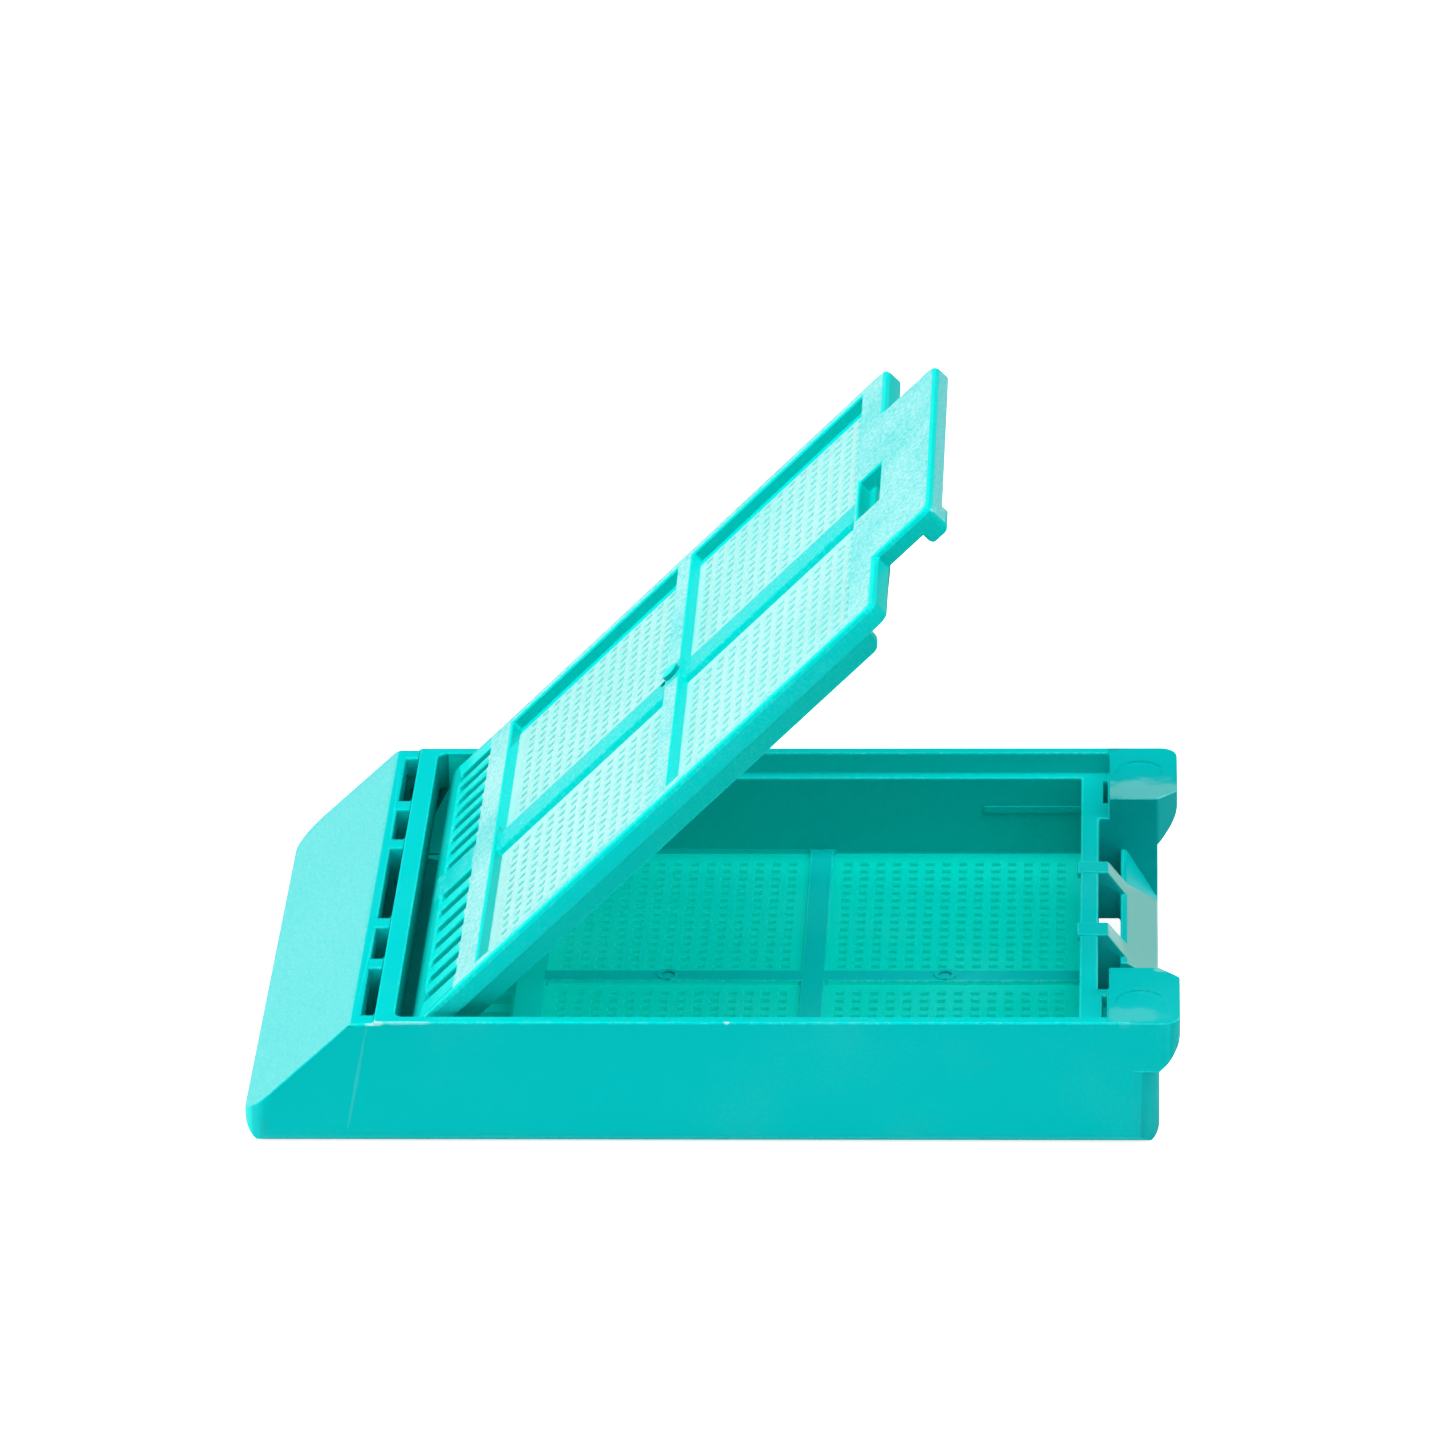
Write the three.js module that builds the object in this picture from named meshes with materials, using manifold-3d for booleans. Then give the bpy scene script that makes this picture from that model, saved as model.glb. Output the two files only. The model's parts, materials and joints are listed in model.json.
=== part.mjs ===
// Tissue cassette: a moulded base tray and a mesh lid that turns on its curved tail.
// Millimetres, +Z up, origin at the centre of the base's underside. The label end points to -X,
// the latch end to +X. Stations along the base are measured back from its front face.
import * as THREE from 'three';
import { mergeVertices } from 'three/addons/utils/BufferGeometryUtils.js';
import Module from 'manifold-3d';

// ---- driving dimensions: base --------------------------------------------------------------
const overallLength = 41.0;
const baseWidth = 28.5;
const baseHeight = 5.95;
const earReach = 0.9;              // how far the ears stand out past the rear face
const frontLip = 1.33;             // height of the upright strip under the label face
const labelRun = 4.83;             // label face, measured along X
const labelWall = 0.9;
const labelEdgeRadius = 0.45;      // rounding between label face and strip
const stripRun = 1.06;             // flat strip behind the label, with its five slots
const stripDrop = 0.1;
const stripSlotWidth = 0.6;
const stripSlotEnd = 0.95;          // outer end of the slots, in from the side face
const stripBarWidth = 1.0;         // bars between the slots
const stripBarPitch = 4.1;         // bars stand at one and two pitches from the centre line
const crossbarWidth = 0.9;
const crossbarHeight = 1.75;
const crossbarFillet = 0.45;       // crossbar into the side walls, seen from above
const rimWall = 0.6;               // side wall beside the lid
const sideWall = 1.1;              // side wall below the ledge
const endWall = 0.8;
const floorTop = 1.0;
const floorUnderside = 0.5;
const floorMeshInset = 0.25;       // mesh windows, in from the chamber's walls
const floorRibRise = 0.22;
const floorRibWidth = 1.1;
const pocketFloor = 0.7;          // floor under the tail
const pocketLength = 4.4;
const pocketSlotLength = 1.8;
const chamberBorder = 1.3;         // raised border between tail pocket and chamber
const frontCornerRadius = 1.3;
const rearCornerRadius = 1.2;
const bottomEdgeRadius = 0.6;
const frontFootRadius = 1.0;       // bottom edge under the label face

// ---- driving dimensions: ears and latch recess ----------------------------------------------
const earLength = 2.2;             // from the ear's inner end to the rear face
const earWidth = 5.5;
const earCornerRadius = 0.9;
const earUpright = 0.8;            // straight part of the lobe before it curves in
const earLobeHeight = 2.43;
const pitGap = 0.5;                // between the end wall and the ears
const earSlotWidth = 0.25;
const earSlotLength = 2.2;
const earCoreInset = 0.8;
const rampWallTop = 3.35;
const rampWallFoot = 0.9;
const rampWallInset = 1.7;         // upright inner face, measured in from the rear face
const rampTopWidth = 0.25;
const catchHalfWidth = 4.1;
const catchTop = 3.85;
const catchFoot = 3.0;
const catchTopWidth = 0.3;
const catchRibWidth = 1.6;
const catchRibUnderside = 2.35;

// ---- driving dimensions: lid ------------------------------------------------------------------
const lidThickness = 0.95;
const lidEdgeRadius = 0.2;         // rounding of the lid's long top edges
const lidSkirtDepth = 1.85;        // from the lid's top face to the skirt's edge
const lidSkirtWall = 0.7;
const lidSkirtInset = 0.5;         // skirt face, in from the lid's long edge
const lidSkirtEndRadius = 0.5;
const hingeReach = 2.22;           // hinge axis to the lid's top face
const tailRadius = 1.45;
const tailWall = 0.85;
const tailSet = 0.285;             // tail curve's centre, behind the hinge axis
const tailDrop = 1.37;             // upright leg below the curve
const footThickness = 0.7;
const tailSlotLength = 1.95;
const nearSlotWidth = 0.8;         // the comb is coarser on the near side, -Y
const nearSlotPitch = 1.65;
const nearSlotInner = 1.0;         // first slot, out from the centre line
const farSlotWidth = 0.7;
const farSlotPitch = 1.37;
const farSlotInner = 1.5;
const tailEndRail = 1.3;           // least width left outside the last slot
const tailRimLength = 0.23;        // solid rim between the curve and the slots
const stripLength = 1.45;          // solid strip between the slots and the windows
const windowDepth = 0.55;
const windowEdge = 0.85;           // rim of the lid beside the windows
const lidRibWidth = 1.0;           // rib across the lid
const lidLongRibWidth = 1.9;
const lidLongRibDrop = 0.25;       // its top, below the lid's top face
const windowEndLand = 1.6;         // solid land between the windows and the lid's end
const tabThickness = 0.85;
const tabHoleLength = 1.35;
const tabHoleWidth = 4.2;
const tabHoleLedge = 0.4;          // ledge left across the hole's inner end
const tabHoleLedgeThickness = 0.3;
const lidCornerRadius = 0.5;
const tabCornerRadius = 0.6;
const nubLength = 1.15;
const nubWidth = 1.8;
const nubDrop = 0.55;
const nubInset = 0.1;              // nub's outer end, in from the tab's end
const openAngle = THREE.MathUtils.degToRad(44.8);

// ---- driving dimensions: mesh panels ----------------------------------------------------------
const meshPitch = 1.53;
const meshBar = 0.62;

// ---- clearances ---------------------------------------------------------------------------------
const lidSideGap = 0.3;            // lid edge to the inside of the rim wall
const lidSeatGap = 0.1;            // closed lid to the ledge
const lidEndGap = 0.2;             // closed lid to the ears
const hingeGap = 0.125;            // upright lid to the crossbar
const skirtEndGap = 0.15;          // skirts to the end wall
const tabSideGap = 0.6;            // tab to the ears
const footGap = 0.26;              // lip of the turning tail to the pocket floor
const nearly = 1.0;                // how far cutting bodies run past the faces they cut

// ---- stations worked out from the sizes above ---------------------------------------------------
const frontX = -overallLength / 2;
const rearX = frontX + overallLength - earReach;
const tipX = frontX + overallLength;
const labelTopX = frontX + labelRun;
const crossbarFront = labelTopX + stripRun;
const crossbarBack = crossbarFront + crossbarWidth;
const pocketBack = crossbarBack + pocketLength;
const chamberFront = pocketBack + chamberBorder;
const earFront = rearX - earLength;
const endWallBack = earFront - pitGap;
const chamberBack = endWallBack - endWall;
const midRibX = (chamberFront + chamberBack) / 2;
const halfWidth = baseWidth / 2;
const rimInner = halfWidth - rimWall;
const wallInner = halfWidth - sideWall;
const earInner = halfWidth - earWidth;
const stripTop = baseHeight - stripDrop;
const ledgeTop = baseHeight - lidThickness - lidSeatGap;
const crossbarUnderside = baseHeight - crossbarHeight;
const hingeX = crossbarBack + hingeGap + hingeReach;
const hingeZ = baseHeight - hingeReach;
const lidHalfWidth = rimInner - lidSideGap;
const windowHalfWidth = lidHalfWidth - windowEdge;
const tabHalfWidth = earInner - tabSideGap;

const moulded = new THREE.MeshStandardMaterial({ color: 0x16c9c4, roughness: 0.48, metalness: 0 });
const mouldedLid = new THREE.MeshStandardMaterial({ color: 0x2ad2cc, roughness: 0.5, metalness: 0 });

const wasm = await Module();
wasm.setup();

// ---- helpers: three.js shapes in, solids out ----------------------------------------------------
function toSolid(geometry) {
  geometry.deleteAttribute('normal');
  geometry.deleteAttribute('uv');
  const merged = mergeVertices(geometry, 1e-5);
  return new wasm.Manifold(new wasm.Mesh({
    numProp: 3,
    vertProperties: new Float32Array(merged.attributes.position.array),
    triVerts: new Uint32Array(merged.index.array),
  }));
}

function toGeometry(solid) {
  const mesh = solid.getMesh();
  const geometry = new THREE.BufferGeometry();
  geometry.setAttribute('position', new THREE.BufferAttribute(mesh.vertProperties, 3));
  geometry.setIndex(new THREE.BufferAttribute(mesh.triVerts, 1));
  geometry.computeVertexNormals();
  return geometry;
}

const union = (solids) => solids.reduce((whole, solid) => whole.add(solid));
const cut = (solid, tools) => solid.subtract(union(tools));

function extrude(shapes, depth, curveSegments = 6) {
  return new THREE.ExtrudeGeometry(shapes, { depth, bevelEnabled: false, curveSegments });
}

// a profile drawn in X and Z, run across the part from y0 to y1
function across(shapes, y0, y1, curveSegments) {
  const geometry = extrude(shapes, y1 - y0, curveSegments);
  geometry.rotateX(Math.PI / 2);
  geometry.translate(0, y1, 0);
  return toSolid(geometry);
}

// a plan drawn in X and Y, standing from z0 to z1
function upright(shapes, z0, z1, curveSegments) {
  const geometry = extrude(shapes, z1 - z0, curveSegments);
  geometry.translate(0, 0, z0);
  return toSolid(geometry);
}

// a section drawn in Y and Z, run along the part from x0 to x1
function along(shapes, x0, x1, curveSegments) {
  const geometry = extrude(shapes, x1 - x0, curveSegments);
  geometry.rotateX(Math.PI / 2);
  geometry.rotateZ(Math.PI / 2);
  geometry.translate(x0, 0, 0);
  return toSolid(geometry);
}

function polygon(points) {
  return new THREE.Shape(points.map(([x, y]) => new THREE.Vector2(x, y)));
}

function rectangle(x0, x1, y0, y1) {
  return polygon([[x0, y0], [x1, y0], [x1, y1], [x0, y1]]);
}

function block(x0, x1, y0, y1, z0, z1) {
  const geometry = new THREE.BoxGeometry(x1 - x0, y1 - y0, z1 - z0);
  geometry.translate((x0 + x1) / 2, (y0 + y1) / 2, (z0 + z1) / 2);
  return toSolid(geometry);
}

// a rectangle with its own radius at each corner: front pair (x0), rear pair (x1)
function roundedPlan(x0, x1, halfY, frontRadius, rearRadius) {
  const plan = new THREE.Shape();
  plan.moveTo(x0 + frontRadius, -halfY);
  plan.lineTo(x1 - rearRadius, -halfY);
  plan.absarc(x1 - rearRadius, -halfY + rearRadius, rearRadius, -Math.PI / 2, 0);
  plan.absarc(x1 - rearRadius, halfY - rearRadius, rearRadius, 0, Math.PI / 2);
  plan.absarc(x0 + frontRadius, halfY - frontRadius, frontRadius, Math.PI / 2, Math.PI);
  plan.absarc(x0 + frontRadius, -halfY + frontRadius, frontRadius, Math.PI, 1.5 * Math.PI);
  return plan;
}

const bothSides = (make) => [-1, 1].map(make);

// lower and upper value of a stretch mirrored to one side of the centre line
const sideSpan = (side, inner, outer) => (side > 0 ? [inner, outer] : [-outer, -inner]);

// a grid of square holes that fills a window and leaves at least one bar round its edge
function meshHoles(x0, x1, y0, y1) {
  const columns = Math.floor((x1 - x0 - meshBar) / meshPitch);
  const rows = Math.floor((y1 - y0 - meshBar) / meshPitch);
  const hole = meshPitch - meshBar;
  const startX = (x0 + x1 - (columns - 1) * meshPitch) / 2;
  const startY = (y0 + y1 - (rows - 1) * meshPitch) / 2;
  const holes = [];
  for (let i = 0; i < columns; i += 1) {
    for (let j = 0; j < rows; j += 1) {
      const x = startX + i * meshPitch;
      const y = startY + j * meshPitch;
      holes.push(rectangle(x - hole / 2, x + hole / 2, y - hole / 2, y + hole / 2));
    }
  }
  return holes;
}

// ---- base ---------------------------------------------------------------------------------------
// side outline: upright lip, label face, slotted strip, crossbar step, rear face
function baseSideProfile() {
  const r = bottomEdgeRadius;
  const f = frontFootRadius;
  const slope = Math.atan2(stripTop - frontLip, labelRun);
  const tangent = labelEdgeRadius * Math.tan(slope / 2);
  const edge = { x: labelTopX + tangent, z: stripTop - labelEdgeRadius };
  const profile = new THREE.Shape();
  profile.moveTo(frontX + f, 0);
  profile.lineTo(rearX - r, 0);
  profile.absarc(rearX - r, r, r, -Math.PI / 2, 0);
  profile.lineTo(rearX, baseHeight);
  profile.lineTo(crossbarFront, baseHeight);
  profile.lineTo(crossbarFront, stripTop);
  profile.lineTo(edge.x, stripTop);
  profile.absarc(edge.x, edge.z, labelEdgeRadius, Math.PI / 2, Math.PI / 2 + slope);
  profile.lineTo(frontX, frontLip);
  profile.absarc(frontX + f, f, f, Math.PI, 1.5 * Math.PI);
  return profile;
}

// section across the base, with the long bottom edges rounded
function baseEndSection() {
  const r = bottomEdgeRadius;
  const section = new THREE.Shape();
  section.moveTo(-halfWidth + r, 0);
  section.lineTo(halfWidth - r, 0);
  section.absarc(halfWidth - r, r, r, -Math.PI / 2, 0);
  section.lineTo(halfWidth, baseHeight);
  section.lineTo(-halfWidth, baseHeight);
  section.absarc(-halfWidth + r, r, r, Math.PI, 1.5 * Math.PI);
  return section;
}

function outerBody() {
  const plan = roundedPlan(frontX, rearX, halfWidth, frontCornerRadius, rearCornerRadius);
  const body = upright([plan], 0, baseHeight)
    .intersect(across([baseSideProfile()], -halfWidth, halfWidth))
    .intersect(along([baseEndSection()], frontX, rearX));
  return body.add(union(bothSides(ear)));
}

// one rear ear: a corner block whose lobe curves back into the rear face
function ear(side) {
  const [y0, y1] = sideSpan(side, earInner, halfWidth);
  const lobe = new THREE.Shape();
  lobe.moveTo(earFront, baseHeight - earLobeHeight);
  lobe.lineTo(rearX, baseHeight - earLobeHeight);
  const middle = baseHeight - (earUpright + earLobeHeight) / 2;
  lobe.quadraticCurveTo(tipX, middle, tipX, baseHeight - earUpright);
  lobe.lineTo(tipX, baseHeight);
  lobe.lineTo(earFront, baseHeight);
  const plan = roundedPlan(earFront - nearly - earCornerRadius, tipX, halfWidth, 0.01, earCornerRadius);
  return across([lobe], y0, y1).intersect(upright([plan], 0, baseHeight));
}

// hollow behind the label face, open underneath
function labelHollow() {
  const slope = Math.atan2(stripTop - frontLip, labelRun);
  const ceiling = stripTop - labelWall;
  const shift = labelWall / Math.cos(slope);
  const insideZ = (x) => frontLip - shift + (x - frontX) * Math.tan(slope);
  const xIn = frontX + labelWall;
  const xTop = frontX + (ceiling - frontLip + shift) / Math.tan(slope);
  const profile = polygon([
    [xIn, -nearly],
    [crossbarFront, -nearly],
    [crossbarFront, ceiling],
    [xTop, ceiling],
    [xIn, insideZ(xIn)],
  ]);
  return across([profile], -halfWidth + labelWall, halfWidth - labelWall);
}

// bars that part the strip's slots, two on each side of the centre line
function stripBars() {
  return [-2, -1, 1, 2].map((i) => [
    i * stripBarPitch - stripBarWidth / 2,
    i * stripBarPitch + stripBarWidth / 2,
  ]);
}

// webs under the strip, one below each bar
function labelWebs() {
  const web = polygon([
    [frontX + labelWall / 2, floorUnderside],
    [crossbarFront, floorUnderside],
    [crossbarFront, stripTop - stripDrop],
    [labelTopX, stripTop - stripDrop],
    [frontX + labelWall / 2, frontLip],
  ]);
  return stripBars().map(([y0, y1]) => across([web], y0, y1));
}

function stripSlots() {
  const x0 = crossbarFront - stripSlotWidth;
  const end = halfWidth - stripSlotEnd;
  const slot = block(x0, crossbarFront, -end, end, crossbarUnderside, baseHeight + nearly);
  return cut(slot, stripBars().map(([y0, y1]) => (
    block(x0 - nearly, crossbarFront + nearly, y0, y1, 0, baseHeight + 2 * nearly)
  )));
}

// keeps the corners between the crossbar and the side walls rounded
function crossbarCorners() {
  const plan = roundedPlan(crossbarBack, tipX, rimInner, crossbarFillet, crossbarFillet);
  const under = block(frontX, tipX, -rimInner, rimInner, 0, crossbarUnderside);
  return upright([plan], 0, baseHeight + 2 * nearly).add(under);
}

// pocket where the tail turns: behind the crossbar, and reaching forward under it
function tailPocket() {
  const profile = polygon([
    [crossbarFront - nearly / 2, pocketFloor],
    [pocketBack, pocketFloor],
    [pocketBack, baseHeight + nearly],
    [crossbarBack, baseHeight + nearly],
    [crossbarBack, crossbarUnderside],
    [crossbarFront - nearly / 2, crossbarUnderside],
  ]);
  return across([profile], -rimInner, rimInner).intersect(crossbarCorners());
}

// comb of drain slots through the pocket floor
function pocketSlots() {
  const x1 = pocketBack - floorMeshInset;
  const slots = combSpans().map(([y0, y1]) => rectangle(x1 - pocketSlotLength, x1, y0, y1));
  return upright(slots, -nearly, pocketFloor + nearly);
}

// stretches across the part taken by the comb of slots in the tail and below it
function combSpans() {
  return [...combSide(-1, nearSlotInner, nearSlotPitch, nearSlotWidth),
    ...combSide(1, farSlotInner, farSlotPitch, farSlotWidth)];
}

function combSide(side, inner, pitch, width) {
  const room = lidHalfWidth - tailEndRail - inner - width;
  const count = Math.floor(room / pitch) + 1;
  return Array.from({ length: count }, (_, i) => (
    sideSpan(side, inner + i * pitch, inner + i * pitch + width)
  ));
}

const floorWindows = () => {
  const stretches = [
    [chamberFront, midRibX - floorRibWidth / 2],
    [midRibX + floorRibWidth / 2, chamberBack - floorMeshInset],
  ];
  return stretches.flatMap(([x0, x1]) => bothSides((side) => [
    x0, x1, ...sideSpan(side, floorRibWidth / 2, wallInner - floorMeshInset),
  ]));
};

function floorRibs() {
  const top = floorTop + floorRibRise;
  const half = floorRibWidth / 2;
  const crossRib = block(midRibX - half, midRibX + half, -wallInner, wallInner, 0, top);
  const longRib = block(chamberFront, chamberBack, -half, half, 0, top);
  return crossRib.add(longRib);
}

// room above the border between pocket and chamber, which stands as high as the floor ribs
function aboveBorder() {
  return block(pocketBack, chamberFront, -wallInner, wallInner, floorTop + floorRibRise, baseHeight + nearly);
}

function lidSeat() {
  return block(crossbarBack, earFront, -rimInner, rimInner, ledgeTop, baseHeight + nearly)
    .intersect(crossbarCorners());
}

function chamber() {
  return block(chamberFront, chamberBack, -wallInner, wallInner, floorTop, baseHeight + nearly);
}

// the open latch recess between the ears
function latchPit() {
  return block(endWallBack, tipX + nearly, -earInner, earInner, -nearly, baseHeight + nearly);
}

// narrow slot and hidden core of each ear block
function earCuts(side) {
  const [slot0, slot1] = sideSpan(side, earInner + earCoreInset, earInner + earCoreInset + earSlotLength);
  const [core0, core1] = sideSpan(side, earInner + earCoreInset, halfWidth - earCoreInset);
  const slotBack = earFront - earSlotWidth / 5;
  const coreFront = earFront + earCoreInset / 2;
  const coreTop = baseHeight - 1.5 * earCoreInset;
  return [
    block(slotBack - earSlotWidth, slotBack, slot0, slot1, floorTop, baseHeight + nearly),
    block(coreFront, rearX - earCoreInset, core0, core1, -nearly, coreTop),
  ];
}

// low rear wall between the ears, its outer face raked
function rampWall() {
  const inner = rearX - rampWallInset;
  const profile = polygon([
    [inner, 0],
    [rearX, 0],
    [rearX, rampWallFoot],
    [inner + rampTopWidth, rampWallTop],
    [inner, rampWallTop],
  ]);
  return across([profile], -earInner, earInner);
}

// raised middle of the rear wall, with two sloping ribs up to the end wall
function latchCatch() {
  const inner = rearX - rampWallInset;
  const plate = polygon([
    [inner, 0],
    [rearX, 0],
    [rearX, catchFoot],
    [inner + catchTopWidth, catchTop],
    [inner, catchTop],
  ]);
  const rib = polygon([
    [endWallBack - endWall / 2, catchRibUnderside],
    [inner + catchTopWidth / 2, catchRibUnderside],
    [inner + catchTopWidth, catchTop],
    [earFront, ledgeTop],
    [endWallBack - endWall / 2, ledgeTop],
  ]);
  const ribs = bothSides((side) => {
    const [y0, y1] = sideSpan(side, catchHalfWidth - catchRibWidth, catchHalfWidth);
    return across([rib], y0, y1);
  });
  return union([across([plate], -catchHalfWidth, catchHalfWidth), ...ribs]);
}

// ramp wall and catch together, trimmed to the rounded bottom edge of the base
function rearWall() {
  return rampWall().add(latchCatch()).intersect(across([baseSideProfile()], -earInner, earInner));
}

function cassetteBase() {
  const windows = floorWindows();
  const recesses = windows.map(([x0, x1, y0, y1]) => block(x0, x1, y0, y1, -nearly, floorUnderside));
  const holes = windows.flatMap(([x0, x1, y0, y1]) => meshHoles(x0, x1, y0, y1));
  let body = cut(outerBody(), [labelHollow()]);
  body = union([body, ...labelWebs()]);
  body = cut(body, [
    stripSlots(), tailPocket(), pocketSlots(), aboveBorder(), lidSeat(), chamber(), latchPit(),
    ...bothSides(earCuts).flat(),
  ]);
  body = union([body, floorRibs(), rearWall()]);
  return cut(body, [...recesses, upright(holes, -nearly, floorTop + nearly)]);
}

// ---- lid, drawn shut, with the hinge axis at X = 0, Z = 0 -----------------------------------------
const lidTop = hingeReach;
const slotFrontX = tailSet + tailRimLength;
const slotBackX = slotFrontX + tailSlotLength;
const windowFrontX = slotBackX + stripLength;
const lidEndX = earFront - lidEndGap - hingeX;
const tabEndX = tipX - hingeX;
const windowBackX = lidEndX - windowEndLand;
const lidMidRibX = midRibX - hingeX;
const tailCentreZ = lidTop - tailRadius;
const footLow = tailCentreZ - tailDrop;
const footReach = Math.sqrt((hingeZ - pocketFloor - footGap) ** 2 - footLow ** 2);

// side outline of plate and tail: flat top, quarter-round tail, upright leg and the lip at its foot
function lidSideProfile() {
  const inner = tailRadius - tailWall;
  const plateUnder = lidTop - lidThickness;
  const profile = new THREE.Shape();
  profile.moveTo(lidEndX, plateUnder);
  profile.lineTo(lidEndX, lidTop);
  profile.lineTo(tailSet, lidTop);
  profile.absarc(tailSet, tailCentreZ, tailRadius, Math.PI / 2, Math.PI);
  profile.lineTo(tailSet - tailRadius, footLow + footThickness);
  profile.lineTo(-footReach, footLow + footThickness);
  profile.lineTo(-footReach, footLow);
  profile.lineTo(tailSet - inner, footLow);
  profile.lineTo(tailSet - inner, tailCentreZ);
  profile.absarc(tailSet, tailCentreZ, inner, Math.PI, Math.PI / 2, true);
  profile.lineTo(tailSet + inner, plateUnder);
  return profile;
}

// plan of the lid: rounded body with the narrower tab standing out of its end
function lidPlan() {
  const r = lidCornerRadius;
  const t = tabCornerRadius;
  const front = -footReach - nearly;
  const plan = new THREE.Shape();
  plan.moveTo(front, -lidHalfWidth);
  plan.lineTo(lidEndX - r, -lidHalfWidth);
  plan.absarc(lidEndX - r, -lidHalfWidth + r, r, -Math.PI / 2, 0);
  plan.lineTo(lidEndX, -tabHalfWidth);
  plan.lineTo(tabEndX - t, -tabHalfWidth);
  plan.absarc(tabEndX - t, -tabHalfWidth + t, t, -Math.PI / 2, 0);
  plan.absarc(tabEndX - t, tabHalfWidth - t, t, 0, Math.PI / 2);
  plan.lineTo(lidEndX, tabHalfWidth);
  plan.lineTo(lidEndX, lidHalfWidth - r);
  plan.absarc(lidEndX - r, lidHalfWidth - r, r, 0, Math.PI / 2);
  plan.lineTo(front, lidHalfWidth);
  return plan;
}

function lidWindows() {
  const stretches = [
    [windowFrontX, lidMidRibX - lidRibWidth / 2],
    [lidMidRibX + lidRibWidth / 2, windowBackX],
  ];
  return stretches.flatMap(([x0, x1]) => bothSides((side) => [
    x0, x1, ...sideSpan(side, lidLongRibWidth / 2, windowHalfWidth),
  ]));
}

// skirts that drop inside the side walls, standing along both long edges
function lidSkirts() {
  const x0 = tailSet + tailRadius - tailWall;
  const x1 = chamberBack - skirtEndGap - hingeX;
  const low = lidTop - lidSkirtDepth;
  const high = lidTop - lidThickness / 2;
  const outer = lidHalfWidth - lidSkirtInset;
  const r = lidSkirtEndRadius;
  const profile = new THREE.Shape();
  profile.moveTo(x0, low);
  profile.lineTo(x1 - r, low);
  profile.absarc(x1 - r, low + r, r, -Math.PI / 2, 0);
  profile.lineTo(x1, high);
  profile.lineTo(x0, high);
  return bothSides((side) => across([profile], ...sideSpan(side, outer - lidSkirtWall, outer)));
}

// section across the lid, with the long top edges rounded
function lidEndSection() {
  const r = lidEdgeRadius;
  const section = new THREE.Shape();
  section.moveTo(-lidHalfWidth, -2 * hingeReach);
  section.lineTo(lidHalfWidth, -2 * hingeReach);
  section.absarc(lidHalfWidth - r, lidTop - r, r, 0, Math.PI / 2);
  section.absarc(-lidHalfWidth + r, lidTop - r, r, Math.PI / 2, Math.PI);
  return section;
}

// nub under one corner of the tab, rounded below
function tabNub() {
  const r = nubDrop / 2;
  const x1 = tabEndX - nubInset;
  const x0 = x1 - nubLength;
  const low = lidTop - tabThickness - nubDrop;
  const profile = new THREE.Shape();
  profile.moveTo(x0, lidTop - tabThickness / 2);
  profile.lineTo(x0, low + r);
  profile.absarc(x0 + r, low + r, r, Math.PI, 1.5 * Math.PI);
  profile.absarc(x1 - r, low + r, r, 1.5 * Math.PI, 2 * Math.PI);
  profile.lineTo(x1, lidTop - tabThickness / 2);
  const plan = roundedPlan(x0, x1, nubWidth / 2, r, r);
  return across([profile], -nubWidth / 2, nubWidth / 2)
    .intersect(upright([plan], low - nearly, lidTop))
    .translate([0, -tabHalfWidth + nubWidth / 2, 0]);
}

// hole across the lid's end where the tab begins, with a thin ledge left at its inner end
function tabHole() {
  const x0 = lidEndX - tabHoleLength;
  const half = tabHoleWidth / 2;
  const ledgeTopZ = lidTop - lidThickness + tabHoleLedgeThickness;
  return block(x0, lidEndX, -half, half, ledgeTopZ, lidTop + nearly)
    .add(block(x0 + tabHoleLedge, lidEndX, -half, half, lidTop - 2 * lidThickness, lidTop));
}

function lidBody() {
  const tabUnder = lidTop - tabThickness;
  const tab = block(lidEndX - tabThickness, tabEndX, -tabHalfWidth, tabHalfWidth, tabUnder, lidTop);
  const plate = union([across([lidSideProfile()], -lidHalfWidth, lidHalfWidth), tab])
    .intersect(upright([lidPlan()], -2 * hingeReach, 2 * hingeReach))
    .intersect(along([lidEndSection()], -2 * hingeReach, tabEndX + nearly));
  const windows = lidWindows();
  const floor = lidTop - windowDepth;
  const wells = windows.map(([x0, x1, y0, y1]) => block(x0, x1, y0, y1, floor, lidTop + nearly));
  const holes = windows.flatMap(([x0, x1, y0, y1]) => meshHoles(x0, x1, y0, y1));
  const comb = combSpans().map(([y0, y1]) => rectangle(slotFrontX, slotBackX, y0, y1));
  const ribDrops = windows.filter((_, i) => i % 2 === 0).map(([x0, x1]) => (
    block(x0, x1, -lidLongRibWidth / 2, lidLongRibWidth / 2, lidTop - lidLongRibDrop, lidTop + nearly)
  ));
  return cut(union([plate, ...lidSkirts(), tabNub()]), [
    ...wells,
    ...ribDrops,
    tabHole(),
    upright(holes, lidTop - lidThickness - nearly, lidTop),
    upright(comb, lidTop - lidThickness - nearly / 2, lidTop + nearly),
  ]);
}

// ---- assembly -------------------------------------------------------------------------------------
function named(name, solid, material) {
  const mesh = new THREE.Mesh(toGeometry(solid), material);
  mesh.name = name;
  return mesh;
}

const cassette = new THREE.Group();
cassette.add(named('cassette_base', cassetteBase(), moulded));

const lidHinge = new THREE.Group();
lidHinge.position.set(hingeX, 0, hingeZ);
lidHinge.rotation.y = -openAngle;
lidHinge.add(named('lid', lidBody(), mouldedLid));
cassette.add(lidHinge);

export default cassette;
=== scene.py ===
import json
import math

import bmesh
import bpy
from mathutils import Matrix, Vector


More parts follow.
